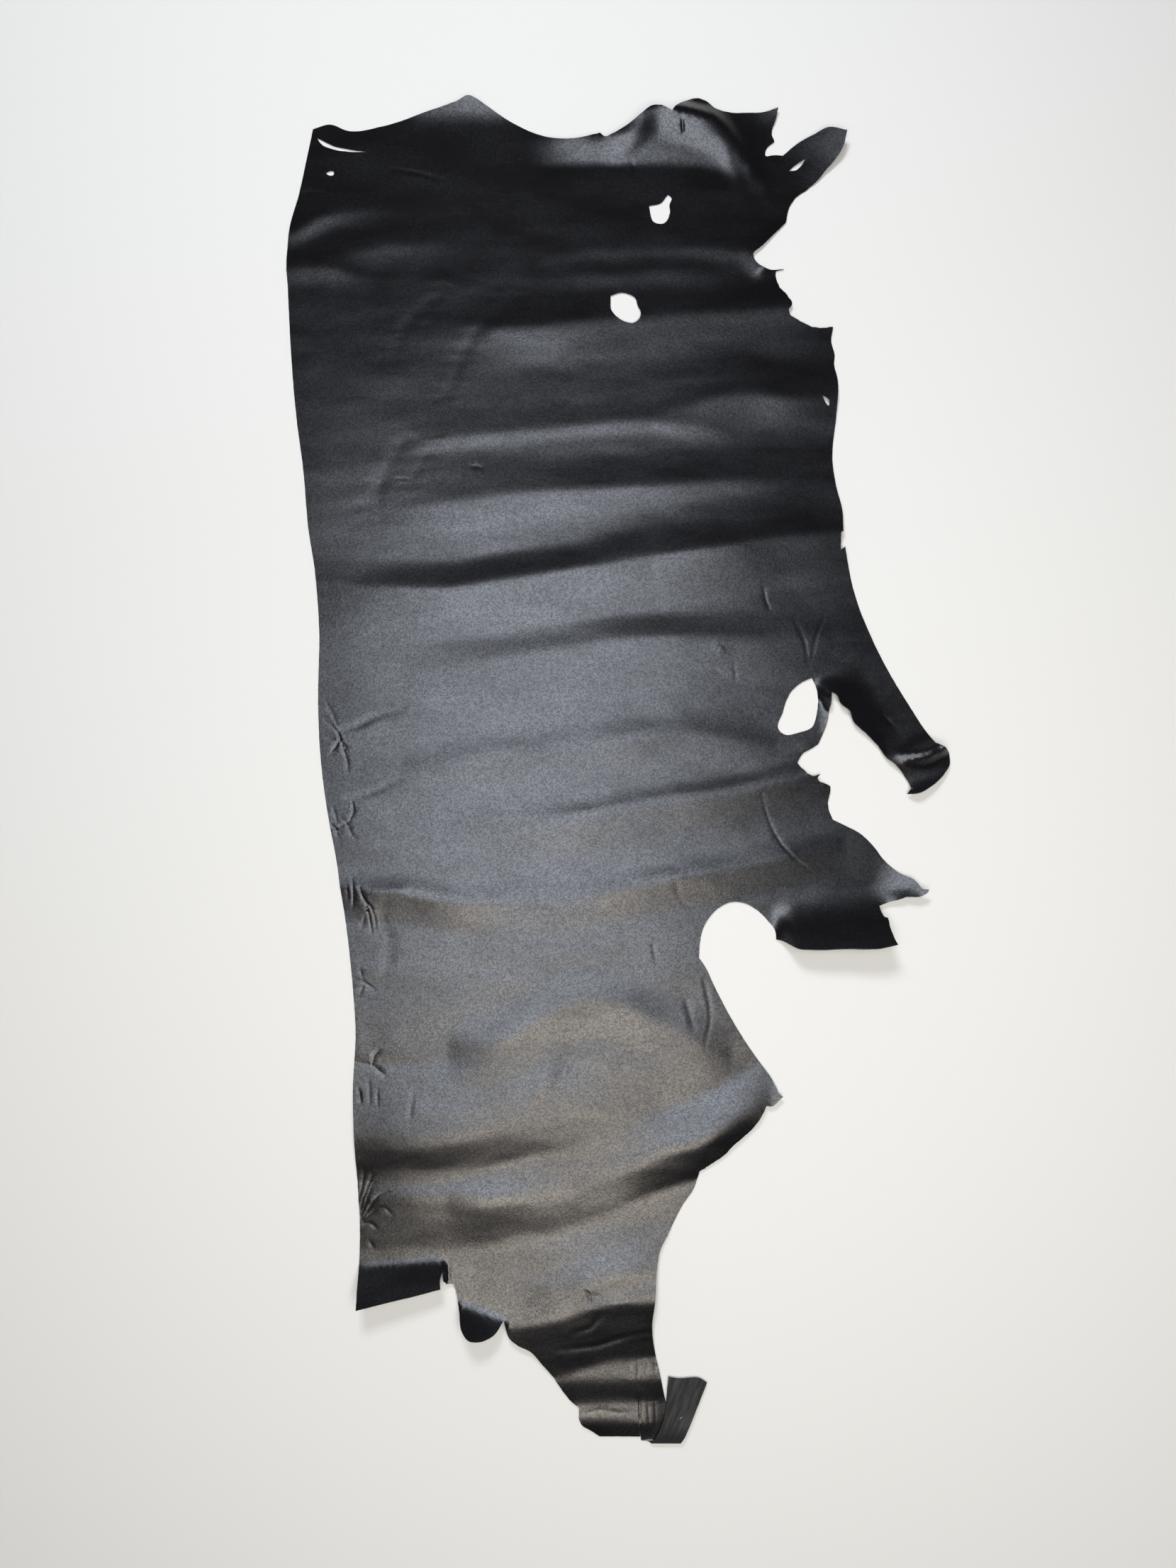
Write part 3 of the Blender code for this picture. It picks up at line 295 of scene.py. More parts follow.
# %% Ridges: name, crest as (x, y, height), width towards butt and neck, rounding, shape of the flanks
RIDGES = [
    ("butt step", [(-17, 110.8, 0.0), (-10, 111.0, 0.95), (0, 111.0, 1.1), (10, 111.0, 1.1),
                   (17, 110.6, 1.0), (21, 108.8, 0.45), (24.5, 106.0, 0.0)], 14.0, 4.6, 0.3, 1.1),
    ("butt lip", [(-3, 110.6, 0.0), (1, 112.4, 0.8), (4, 114.4, 1.7), (6.5, 115.4, 2.0),
                  (10, 115.1, 2.0), (15, 114.0, 1.75), (17.5, 113.2, 1.4), (19.2, 111.8, 0.85),
                  (20.6, 110.2, 0.35), (22.2, 107.8, 0.0)], 2.6, 4.6, 0.3, 1.2),
    ("butt lip end", [(18.4, 112.4, 0.0), (19.6, 111.4, 0.2), (21.0, 109.8, 0.32), (22.6, 107.4, 0.32),
                      (24.6, 104.6, 0.24), (27.4, 101.4, 0.0)], 2.4, 2.2, 0.3, 1.2),
    ("tail swell", [(-60, 93.6, 0.25), (-56.5, 95.0, 0.4), (-53, 97.0, 0.45), (-48, 98.4, 0.35),
                    (-43, 98.6, 0.2), (-36, 98.4, 0.0)], 5.0, 3.2, 0.5, 1.6),
    ("rump swell", [(-54, 89.6, 0.0), (-49, 90.8, 0.2), (-45, 91.6, 0.3), (-40, 92.4, 0.3),
                    (-33, 92.2, 0.15), (-24, 92.0, 0.0)], 5.0, 4.0, 0.6, 1.6),
    ("rump dent", [(-60, 88.0, 0.3), (-54, 88.6, 0.42), (-50, 88.2, 0.35), (-46, 87.4, 0.15),
                   (-42, 87.0, 0.0)], 4.0, 3.6, 0.5, 1.6),
    ("croup ridge", [(-15, 90.8, 0.0), (-8, 91.4, 0.22), (0, 92.1, 0.25), (10, 91.9, 0.27),
                     (16, 91.8, 0.32), (20, 91.4, 0.34), (24, 91.2, 0.34), (30, 91.0, 0.25)],
     6.5, 4.1, 0.5, 1.5),
    ("croup fold", [(-17, 86.6, 0.0), (-10, 86.8, 0.15), (0, 87.4, 0.17), (10, 87.8, 0.17),
                    (17, 87.4, 0.1), (22, 87.0, 0.0)], 2.4, 3.7, 0.5, 1.5),
    ("loin ridge", [(-36, 77.0, 0.0), (-26, 77.6, 0.25), (-18, 77.9, 0.54), (-10, 78.6, 0.58),
                    (0, 79.4, 0.42), (10, 80.0, 0.5), (20, 80.4, 0.5), (30, 81.4, 0.66),
                    (40, 82.0, 0.64)], 5.0, 7.4, 0.8, 1.5),
    ("flank ridge", [(6, 62.8, 0.0), (11, 63.8, 0.22), (16, 65.0, 0.42), (23, 66.0, 0.55),
                     (30, 65.2, 0.72), (41, 65.6, 0.75)], 7.0, 6.5, 0.6, 1.4),
    ("high ridge", [(-38, 57.0, 0.0), (-30, 58.3, 0.17), (-20, 59.2, 0.2), (-10, 60.2, 0.18),
                    (0, 61.1, 0.23), (8, 61.0, 0.2), (14, 60.4, 0.13), (21, 59.2, 0.0)],
     4.4, 2.3, 0.3, 1.4),
    ("rib ridge", [(-42, 45.4, 0.0), (-30, 47.0, 0.28), (-20, 48.4, 0.42), (-10, 49.0, 0.48),
                   (0, 49.4, 0.57), (10, 49.8, 0.66), (20, 50.6, 0.64), (30, 50.4, 0.55),
                   (41, 50.8, 0.5)], 6.0, 7.0, 0.5, 1.3),
    ("great ridge, spine side", [(-54, 32.8, 0.2), (-50, 32.4, 0.32), (-45, 31.9, 0.45),
                                 (-40, 31.7, 0.6), (-30, 31.6, 0.8), (-20, 33.0, 0.88),
                                 (-10, 34.6, 0.75), (0, 36.1, 0.35), (6, 37.0, 0.0)],
     4.6, 8.5, 0.35, 1.3),
    ("great ridge, belly side", [(-14, 34.0, 0.0), (-6, 35.2, 0.35), (0, 36.1, 0.9), (10, 37.5, 1.5),
                                 (20, 38.8, 1.65), (30, 40.4, 1.5), (36, 41.0, 1.4),
                                 (43, 41.8, 1.2)], 9.2, 8.5, 0.35, 1.2),
    ("girth ridge", [(-38, 17.2, 0.0), (-30, 18.0, 0.2), (-20, 19.0, 0.42), (-10, 20.6, 0.46),
                     (0, 22.4, 0.58), (10, 22.8, 0.62), (20, 22.8, 0.55), (30, 23.0, 0.4),
                     (38, 24.0, 0.3)], 4.8, 8.0, 0.5, 1.3),
    ("heart ridge", [(-38, 0.2, 0.0), (-30, 1.0, 0.3), (-20, 2.8, 0.38), (-10, 3.4, 0.36),
                     (0, 4.8, 0.5), (10, 6.6, 0.46), (20, 5.2, 0.25), (28, 4.0, 0.0)],
     4.0, 5.0, 0.4, 1.3),
    ("elbow ridge", [(-30, -8.6, 0.0), (-20, -8.8, 0.3), (-10, -9.0, 0.58), (0, -7.0, 0.62),
                     (10, -5.3, 0.7), (20, -3.9, 0.78), (30, -1.5, 0.78), (39, 0.2, 0.6)],
     3.3, 7.0, 0.3, 1.3),
    ("shoulder line", [(-50, -20.2, 0.45), (-44, -21.4, 0.7), (-38, -21.7, 0.74), (-30, -23.0, 0.76),
                       (-20, -23.2, 0.45), (-10, -22.8, 0.32), (0, -21.1, 0.62), (10, -19.2, 0.72),
                       (20, -17.4, 0.6), (30, -15.2, 0.5), (40, -13.4, 0.0)], 3.4, 5.5, 0.3, 1.3),
    ("shoulder swell", [(-30, -49.4, 0.0), (-22, -48.8, 0.5), (-14, -44.2, 0.45), (-6, -40.6, 0.5),
                        (2, -42.0, 0.4), (8, -45.2, 0.25), (14, -48.2, 0.25), (20, -50.0, 0.0)],
     5.0, 6.5, 1.0, 1.5),
    ("nape step", [(-50, -65.0, 0.9), (-44, -65.4, 1.0), (-38, -65.6, 1.2), (-30, -65.0, 1.25),
                   (-24, -63.6, 1.0), (-20, -62.4, 0.9), (-14, -61.2, 0.7), (-8, -60.8, 0.5),
                   (0, -60.4, 0.2), (8, -60.0, 0.0)], 12.0, 6.2, 1.2, 1.0),
    ("nape ridge", [(-50, -76.0, 0.0), (-44, -75.8, 0.35), (-36, -75.8, 0.66), (-28, -75.6, 0.7),
                    (-20, -76.0, 0.4), (-12, -76.2, 0.25), (-6, -76.0, 0.0)], 4.6, 11.0, 0.9, 1.15),
    ("neck swell", [(-30, -77.0, 0.0), (-22, -76.8, 0.4), (-14, -75.2, 0.3), (-8, -73.6, 0.36),
                    (0, -71.0, 0.5), (6, -68.4, 0.85), (10, -66.9, 1.05), (15, -65.2, 1.45),
                    (20, -62.6, 1.3), (27, -58.4, 0.4)], 6.0, 5.4, 0.8, 1.0),
    ("throat crease", [(-17, -93.8, 0.0), (-10, -92.3, 0.16), (-5, -90.3, 0.26), (0, -88.6, 0.26),
                       (5, -87.6, 0.12), (9, -87.0, 0.0)], 4.0, 2.0, 0.3, 1.0),
    ("throat ridge", [(-25, -98.2, 1.2), (-16, -97.4, 1.55), (-10, -96.0, 1.85), (-5, -94.4, 1.95),
                      (0, -93.5, 2.0), (5, -93.2, 2.05), (9, -93.0, 2.05)], 13.0, 9.8, 0.4, 1.0),
    ("collar ridge", [(-18, -107.6, 0.35), (-8, -107.8, 0.58), (0, -107.6, 0.56), (6, -107.4, 0.5),
                      (9, -107.2, 0.4)], 12.0, 3.5, 0.35, 1.0),
    ("neck pillow", [(-10, -114.7, 0.25), (-6, -114.8, 0.4), (0, -114.9, 0.42), (5.4, -115.0, 0.38),
                     (7.0, -115.0, 0.2), (8.2, -115.0, 0.0)], 6.5, 2.8, 0.35, 1.1),
    ("fore shank lip", [(47.0, 2.2, 0.0), (49.5, 2.1, 1.0), (51.5, 2.2, 2.0), (53.7, 2.5, 2.6),
                        (57.4, 4.1, 2.8), (60.0, 5.0, 2.8)], 5.0, 2.4, 0.35, 2.0),
]
print("ridges:", len(RIDGES))

# %% Lifts: name, start x and y, heading, reach, height, spread left and right, softness, shape
LIFTS = [
    ("butt peak", -27.0, 112.6, 90.0, 5.6, 1.3, 14.0, 13.0, 7.0, 1.8),
    ("butt corner", 24.0, 113.0, 60.0, 5.0, 0.8, 8.0, 8.0, 4.0, 1.8),
    ("hind shank", 29.5, 105.0, 38.0, 13.0, 2.6, 9.0, 9.0, 3.0, 1.8),
    ("flank lip", 25.0, 96.5, -50.0, 5.5, 0.35, 6.0, 8.0, 4.0, 1.8),
    ("fore shank", 45.8, 12.8, 211.0, 6.0, 1.2, 14.5, 8.5, 5.0, 1.8),
    ("fore shank end", 54.4, -0.4, -72.0, 3.4, 1.7, 6.0, 5.0, 1.5, 1.8),
    ("armpit strap", 35.4, 9.5, 0.0, 2.0, 0.25, 3.6, 4.5, 2.0, 1.8),
    ("brisket flap", 38.0, -22.0, -82.0, 8.2, 4.1, 16.0, 11.5, 4.0, 1.5),
    ("brisket tip", 45.0, -18.5, -18.0, 9.5, 1.9, 6.0, 4.6, 2.0, 1.8),
    ("cheek tongue", -23.2, -95.1, -110.0, 4.0, 2.7, 4.6, 4.8, 0.7, 1.25),
    ("shoulder flap", -40.0, -87.0, -85.0, 6.1, 4.0, 9.4, 12.0, 0.4, 1.0),
    ("neck flare tip", 22.0, -54.0, -30.0, 8.0, 0.6, 8.0, 8.0, 4.0, 1.8),
]
LIFT_LIMIT = 1.5         # a curl ends at this many times its reach, where other parts of the hide lie,
LIFT_FADE = 0.3          # over this share of the reach
RELIEF_FADE = 1.5        # the relief runs out this far before the bend of the strip
print("lifts:", len(LIFTS))

# %% Height of the ridges and lifts
def ridge_height(x, y, crest, butt_flank, neck_flank, rounding, shape):
    """Height of one ridge: that of its crest, less the further a point lies from the crest line."""
    crest = np.array(crest, float)
    crest_y = smooth_line(crest[:, 0], crest[:, 1], x)
    height = np.clip(smooth_line(crest[:, 0], crest[:, 2], x), 0.0, None)
    lean = smooth_line(crest[:, 0], np.gradient(crest[:, 1], crest[:, 0]), x)
    distance = (y - crest_y) / np.sqrt(1.0 + lean * lean)
    width = np.where(distance > 0.0, butt_flank, neck_flank)
    rounded = np.sqrt(distance * distance + rounding * rounding) - rounding
    return height * np.clip(1.0 - rounded / width, 0.0, 1.0)**shape


def lift_height(x, y, start_x, start_y, heading, reach, height, left, right, softness, shape):
    """Height of one curled end: it rises from its start along its heading, and fades to both sides."""
    ahead_x, ahead_y = math.cos(math.radians(heading)), math.sin(math.radians(heading))
    along = (x - start_x) * ahead_x + (y - start_y) * ahead_y
    across = (y - start_y) * ahead_x - (x - start_x) * ahead_y
    sides = ease((left - across) / softness) * ease((right + across) / softness)
    share = np.clip(along / reach, 0.0, LIFT_LIMIT)
    return height * share**shape * sides * ease((LIFT_LIMIT - share) / LIFT_FADE)


def main_relief(x, y):
    """All ridges and lifts, added up."""
    height = np.zeros_like(x)
    for _, *numbers in RIDGES:
        height += ridge_height(x, y, *numbers)
    for _, *numbers in LIFTS:
        height += lift_height(x, y, *numbers)
    return height


# %% [markdown]
# ## Creases and puckers
#
# Where a hide was bent sharply it keeps a crease: a groove with a lip on each side. Along the backbone
# the edge dries faster than the middle and puckers, in small fans of creases that meet at the edge.
# Each crease is a short curve with its own depth and width, so a fan is simply several rows.

# %% Creases: name, points (x, y), depth and width in centimetres
CREASES = [
    ("scar", [(25.3, -4.4), (26.4, -8.5), (28.9, -13.4), (32.5, -16.9), (34.0, -18.0)], 0.035, 0.28),
    ("slit crease", [(25.7, 32.0), (26.0, 30.0), (26.8, 28.0)], 0.04, 0.24),
    ("armpit crease", [(31.2, 26.0), (32.8, 22.4), (33.6, 18.2)], 0.025, 0.40),
    ("armpit crease", [(36.8, 27.6), (35.0, 23.4), (34.0, 18.6)], 0.022, 0.35),
    ("girth mark", [(17.0, 20.4), (18.4, 21.8), (19.2, 20.6)], 0.02, 0.25),
    ("girth mark", [(13.6, 17.2), (16.4, 17.6), (18.8, 16.4)], 0.02, 0.45),
    ("girth mark", [(20.4, 18.6), (20.9, 15.4)], 0.02, 0.35),
    ("rump streak", [(-40.0, 105.6), (-35.0, 104.9), (-30.5, 103.6)], 0.05, 0.45),
    ("tail streak", [(-56.2, 101.3), (-53.5, 101.6), (-50.0, 100.7)], 0.04, 0.35),
    ("butt tick", [(2.6, 106.8), (2.9, 105.0)], 0.06, 0.20),
    ("butt tick", [(11.2, 113.4), (11.4, 111.2)], 0.16, 0.24),
    ("butt tick", [(26.4, 99.8), (26.0, 99.2)], 0.05, 0.20),
    ("loin crease", [(-26.2, 53.4), (-23.6, 53.0)], 0.05, 0.22),
    ("loin crease", [(-39.6, 51.2), (-36.5, 51.0)], 0.04, 0.22),
    ("loin arc", [(-18.0, 83.0), (-22.0, 79.6), (-26.0, 75.4), (-28.4, 70.0), (-30.0, 66.0)], 0.05, 1.3),
    ("loin arc", [(-27.0, 86.0), (-33.0, 82.2), (-37.6, 78.0), (-39.4, 72.0)], 0.03, 1.2),
    ("rib arc", [(-37.6, 58.6), (-39.6, 54.6), (-42.0, 50.0), (-43.2, 46.4)], 0.03, 1.3),
    ("rib arc", [(-32.0, 57.0), (-35.0, 53.4), (-36.4, 49.8)], 0.02, 1.0),
    ("neck crease", [(-6.4, -91.2), (-5.2, -91.8), (-4.8, -93.8)], 0.08, 0.28),
    ("neck crease", [(-5.2, -91.6), (-2.6, -92.6), (1.4, -92.6)], 0.05, 0.40),
    ("neck crease", [(-14.4, -94.6), (-10.0, -93.2), (-6.4, -91.6)], 0.04, 0.30),
    ("jaw crease", [(-16.5, -93.0), (-14.0, -92.0), (-12.0, -91.8)], 0.03, 0.25),
    ("backbone crease", [(-40.6, -21.5), (-41.4, -26.0), (-40.2, -31.0), (-41.0, -37.0)], 0.035, 1.30),
    ("backbone crease", [(-36.0, -57.0), (-36.6, -62.0)], 0.03, 0.50),
    ("shoulder dent", [(12.0, -40.8), (13.4, -46.0)], 0.05, 0.60),
    ("shoulder dent", [(15.2, -37.0), (16.3, -44.0), (15.4, -48.5)], 0.04, 0.45),
    ("shoulder dent", [(10.2, -19.8), (10.6, -22.0), (12.4, -24.2)], 0.022, 0.60),
    ("shoulder dent", [(6.2, -31.0), (6.8, -34.2)], 0.04, 0.45),
    ("upper pucker", [(-51.6, 8.4), (-50.2, 7.4), (-49.2, 6.0)], 0.05, 0.20),
    ("upper pucker", [(-49.4, 6.4), (-49.0, 5.3), (-49.4, 4.4), (-50.3, 3.2)], 0.10, 0.22),
    ("upper pucker", [(-49.0, 5.6), (-48.3, 3.4), (-47.7, 1.4), (-47.5, -0.4)], 0.07, 0.20),
    ("upper pucker", [(-48.9, 5.2), (-47.9, 3.6), (-47.4, 2.2)], 0.05, 0.18),
    ("upper pucker", [(-49.8, 5.2), (-51.4, 5.4)], 0.04, 0.20),
    ("upper pucker", [(-51.5, 12.0), (-50.4, 10.0), (-49.4, 7.6)], 0.03, 0.25),
    ("upper fold", [(-48.6, 6.9), (-46.0, 7.6), (-42.6, 9.2), (-38.0, 10.4)], 0.09, 0.80),
    ("second fold", [(-47.4, -5.0), (-44.0, -4.4), (-39.0, -2.2)], 0.07, 0.80),
    ("second pucker", [(-50.4, -10.0), (-49.6, -10.7), (-48.7, -11.0)], 0.09, 0.20),
    ("second pucker", [(-49.8, -10.5), (-48.4, -9.9), (-47.2, -9.3)], 0.06, 0.18),
    ("second pucker", [(-46.8, -5.8), (-46.6, -7.6), (-47.3, -9.2)], 0.06, 0.22),
    ("second pucker", [(-49.0, -8.6), (-47.8, -9.4), (-47.2, -11.0), (-46.0, -12.6)], 0.05, 0.18),
    ("second pucker", [(-49.6, -10.8), (-49.2, -12.2)], 0.05, 0.18),
    ("second pucker", [(-50.2, -6.6), (-49.4, -9.4)], 0.03, 0.22),
    ("third pucker", [(-46.8, -19.2), (-46.5, -21.6), (-46.6, -24.2)], 0.08, 0.24),
    ("third pucker", [(-47.6, -20.4), (-47.4, -23.0)], 0.05, 0.20),
    ("third pucker", [(-45.4, -20.8), (-44.7, -22.8), (-43.2, -24.6)], 0.10, 0.26),
    ("third pucker", [(-44.6, -22.6), (-43.9, -25.4), (-43.3, -28.8)], 0.06, 0.20),
    ("third pucker", [(-43.6, -24.0), (-42.9, -26.0), (-42.6, -28.4)], 0.05, 0.20),
    ("third pucker", [(-44.4, -25.6), (-45.2, -28.0)], 0.04, 0.22),
    ("fourth pucker", [(-46.4, -37.0), (-44.6, -37.6), (-42.8, -39.0)], 0.05, 0.24),
    ("fourth pucker", [(-45.6, -35.0), (-44.8, -37.2)], 0.04, 0.20),
    ("fourth pucker", [(-45.6, -40.0), (-44.8, -38.2)], 0.04, 0.20),
    ("fifth pucker", [(-45.9, -51.7), (-44.6, -51.9), (-43.3, -52.1)], 0.07, 0.20),
    ("fifth pucker", [(-43.2, -52.0), (-42.9, -50.6), (-42.0, -49.6)], 0.07, 0.18),
    ("fifth pucker", [(-43.2, -52.2), (-42.2, -53.1), (-40.9, -54.0)], 0.07, 0.18),
    ("fifth pucker", [(-45.6, -56.4), (-45.2, -58.6)], 0.10, 0.34),
    ("fifth pucker", [(-42.3, -56.2), (-42.2, -59.4)], 0.04, 0.22),
    ("fifth pucker", [(-43.8, -54.6), (-43.6, -59.0)], 0.03, 0.30),
    ("sixth pucker", [(-45.3, -79.6), (-45.0, -76.4), (-44.0, -73.6), (-43.2, -71.4)], 0.07, 0.18),
    ("sixth pucker", [(-45.2, -79.4), (-44.4, -76.4), (-43.1, -72.8)], 0.07, 0.18),
    ("sixth pucker", [(-45.0, -79.4), (-43.6, -77.0), (-42.2, -75.2), (-40.4, -74.3)], 0.07, 0.20),
    ("sixth pucker", [(-44.9, -79.6), (-43.2, -78.0), (-41.2, -77.2), (-39.6, -78.4)], 0.06, 0.22),
    ("sixth pucker", [(-44.8, -80.2), (-43.6, -80.0), (-42.5, -80.8)], 0.08, 0.34),
    ("sixth pucker", [(-45.6, -76.0), (-45.0, -73.4), (-44.6, -70.6)], 0.05, 0.20),
    ("sixth pucker", [(-43.8, -83.0), (-43.0, -84.4)], 0.04, 0.30),
    ("collar streak", [(2.0, -104.2), (2.1, -107.4)], 0.04, 0.16),
    ("collar streak", [(3.5, -104.0), (3.6, -107.6)], 0.05, 0.16),
    ("collar streak", [(4.9, -103.6), (5.1, -107.4)], 0.03, 0.16),
    ("collar streak", [(6.4, -103.4), (6.7, -107.0)], 0.04, 0.16),
    ("pillow crack", [(3.7, -110.4), (3.8, -113.0), (4.0, -117.0)], 0.14, 0.20),
    ("pillow streak", [(5.3, -111.4), (5.5, -115.6)], 0.05, 0.20),
    ("pillow streak", [(6.5, -111.2), (6.7, -115.4)], 0.05, 0.20),
    ("pillow wrinkle", [(-6.0, -113.4), (-3.0, -112.9), (0.0, -113.3), (3.2, -113.0)], 0.05, 0.22),
    ("throat fold", [(-3.0, -95.6), (-4.6, -97.6), (-8.0, -98.8)], 0.07, 0.60),
    ("throat fold", [(6.4, -98.6), (2.0, -99.4), (-4.0, -101.2), (-10.0, -101.8)], 0.06, 0.60),
    ("shank streak", [(46.6, 9.4), (48.6, 7.6)], 0.05, 0.30),
]

CREASE_STEP = 0.25       # between two points of a crease
LINES = [(along_curve(points, CREASE_STEP, True), depth, width) for _, points, depth, width in CREASES]
print("creases:", len(LINES))

# %% Height of the creases
LIP_WIDTH = 2.2          # the lips of a crease reach out this many times its own width
LIP_SHARE = 0.45         # and rise by this share of its depth
END_DEPTH = 0.12         # a crease starts and ends this far, of half a turn, into a sine wave


def crease_height(x, y):
    """Sum of the grooves and lips of all creases. A crease runs out at both ends."""
    height = np.zeros_like(x)
    for curve, depth, width in LINES:
        reach = 3.0 * LIP_WIDTH * width
        low, high = curve.min(axis=0) - reach, curve.max(axis=0) + reach
        near = np.flatnonzero((x > low[0]) & (x < high[0]) & (y > low[1]) & (y < high[1]))
        if not len(near):
            continue
        gaps = np.hypot(x[near, None] - curve[None, :, 0], y[near, None] - curve[None, :, 1])
        closest = gaps.argmin(axis=1)
        gap = gaps[np.arange(len(near)), closest]
        place = closest / (len(curve) - 1)
        strength = depth * np.sin(math.pi * (END_DEPTH + (1.0 - 2.0 * END_DEPTH) * place))
        groove = np.exp(-(gap / width)**2)
        lips = np.exp(-(gap / (LIP_WIDTH * width))**2)
        height[near] += strength * (LIP_SHARE * lips - (1.0 + LIP_SHARE) * groove)
    return height


# %% [markdown]
# ## Soft swells and the hide's own unevenness
#
# Shoulder, rump and belly grew as round forms and don't flatten fully. Swells are soft bumps and dimples.
# On top of them lies a low unevenness of a few tenths of a millimetre, drawn out across the hide. It is
# too low to see as a shape, but it breaks up the sheen into streaks and clouds.

# %% Swells: x, y, height (negative for a dimple), length, width, heading in degrees
SWELLS = [
    (-8.3, -50.3, -0.14, 4.0, 2.4, 70.0),
    (-12.6, -54.5, 0.14, 3.4, 1.5, 62.0),
    (-14.0, 76.6, 0.10, 8.0, 3.0, 0.0),
    (18.0, 21.2, 0.05, 1.3, 1.0, 0.0),
    (22.0, 101.0, 0.10, 3.0, 2.2, 60.0),
    (15.0, 98.6, 0.09, 5.0, 1.8, 0.0),
    (-46.0, -46.0, 0.06, 5.0, 1.6, 90.0),
    (33.0, 4.2, 0.04, 1.4, 0.8, 0.0),
]
UNEVEN = [                   # height, length across the hide and width along it, all in cm
    (0.050, 13.0, 4.2),
    (0.024, 6.5, 1.7),
    (0.011, 2.6, 1.0),
]


def swell_height(x, y):
    """Sum of the soft bumps and dimples."""
    height = np.zeros_like(x)
    for centre_x, centre_y, rise, length, width, heading in SWELLS:
        turn = math.radians(heading)
        along = (x - centre_x) * math.cos(turn) + (y - centre_y) * math.sin(turn)
        across = (y - centre_y) * math.cos(turn) - (x - centre_x) * math.sin(turn)
        height += rise * np.exp(-(along / length)**2 - (across / width)**2)
    return height


def uneven_height(x, y):
    """Low streaks and clouds: three sizes of smooth noise, each drawn out across the hide."""
    height = np.zeros_like(x)
    for number, (rise, length, width) in enumerate(UNEVEN):
        places = zip((x / length).tolist(), (y / width).tolist())
        height += rise * np.array([noise.noise(Vector((px, py, 3.7 * number))) for px, py in places])
    return height


# %% [markdown]
# ## The mesh
#
# Blender's constrained Delaunay triangulation fills the outline with triangles and keeps every piece of
# the cut edge. The inner points are a staggered grid, with finer points around the creases and across
# the bend of the strip.

# %% Points and triangles of the flat sheet
def is_inside(points, loops):
    """True for the points on the hide: inside the outline and outside each hole."""
    inside = np.zeros(len(points), bool)
    px, py = points[:, 0], points[:, 1]
    for loop in loops:
        for (ax, ay), (bx, by) in zip(loop, np.roll(loop, -1, axis=0)):
            if ay != by:
                crosses = (ay > py) != (by > py)
                inside ^= crosses & (px < (bx - ax) * (py - ay) / (by - ay) + ax)
    return inside


def staggered(low, high, pitch_x, pitch_y):
    """A grid of points in which every other row is shifted by half a pitch."""
    rows = np.arange(low[1], high[1], pitch_y)
    columns = np.arange(low[0], high[0], pitch_x)
    grid = [(x + 0.5 * pitch_x * (row % 2), y) for row, y in enumerate(rows) for x in columns]
    return np.array(grid)


def keep_clear(points, taken, clearance):
    """The points that lie further than clearance from every point in taken."""
    tree = KDTree(len(taken))
    for index, point in enumerate(taken):
        tree.insert((*point, 0.0), index)
    tree.balance()
    return np.array([p for p in points if tree.find((*p, 0.0))[2] > clearance])


CREASE_REACH = 2.2           # fine points reach out this many times the width of a crease
BEND_LEFT, BEND_RIGHT = 5.0, 12.4      # X over which the strip bends
BEND_PITCH_X, BEND_PITCH_Y = 0.5, 0.2
BEND_MARGIN = 0.3            # fine points go on this far before and beyond the bend


def inner_points(loops):
    """Fine points along the creases and the bend, coarse points elsewhere, none close to the edge."""
    edge = np.concatenate(loops)
    fine = []
    for curve, _, width in LINES:
        grid = staggered(curve.min(axis=0) - 2.5 * width, curve.max(axis=0) + 2.5 * width,
                         CREASE_PITCH, CREASE_PITCH)
        gaps = np.hypot(grid[:, None, 0] - curve[None, :, 0], grid[:, None, 1] - curve[None, :, 1])
        fine.append(grid[gaps.min(axis=1) < CREASE_REACH * width])
    bend = staggered((BEND_LEFT, STRIP_BEND_START - BEND_ARC - BEND_MARGIN),
                     (BEND_RIGHT, STRIP_BEND_START + BEND_MARGIN), BEND_PITCH_X, BEND_PITCH_Y)
    fine = np.concatenate([bend] + fine)
    order = np.unique(np.round(fine / (0.8 * CREASE_PITCH)).astype(int), axis=0, return_index=True)[1]
    fine = keep_clear(fine[np.sort(order)], edge, EDGE_CLEARANCE)
    coarse = staggered(loops[0].min(axis=0), loops[0].max(axis=0), MESH_PITCH_X, MESH_PITCH_Y)
    coarse = keep_clear(coarse, edge, 1.6 * EDGE_CLEARANCE)
    coarse = keep_clear(coarse, fine, 1.2 * CREASE_PITCH)
    points = np.concatenate([fine, coarse])
    return points[is_inside(points, loops)]


def flat_mesh(loops, inner):
    """Triangles over the cut shape: its points and the three corners of each triangle."""
    points = np.concatenate(loops + [inner])
    edges = []
    start = 0
    for loop in loops:
        edges += [(start + k, start + (k + 1) % len(loop)) for k in range(len(loop))]
        start += len(loop)
    places, _, faces, *_ = delaunay_2d_cdt([Vector(p) for p in points], edges, [], 0, 1e-5)
    places = np.array([(p.x, p.y) for p in places])
    faces = np.array(faces)
    return places, faces[is_inside(places[faces].mean(axis=1), loops)]


flat, faces = flat_mesh(loops, inner_points(loops))

# %% [markdown]
# ## Laying it out
#
# Each flat point gets its height. The strip is then turned over round a small bend, like a page that is
# folded back. The grain face lies one thickness above the flesh face, along the sheet's own direction,
# and between them runs the cut edge, with its upper corner a little rounded by handling.

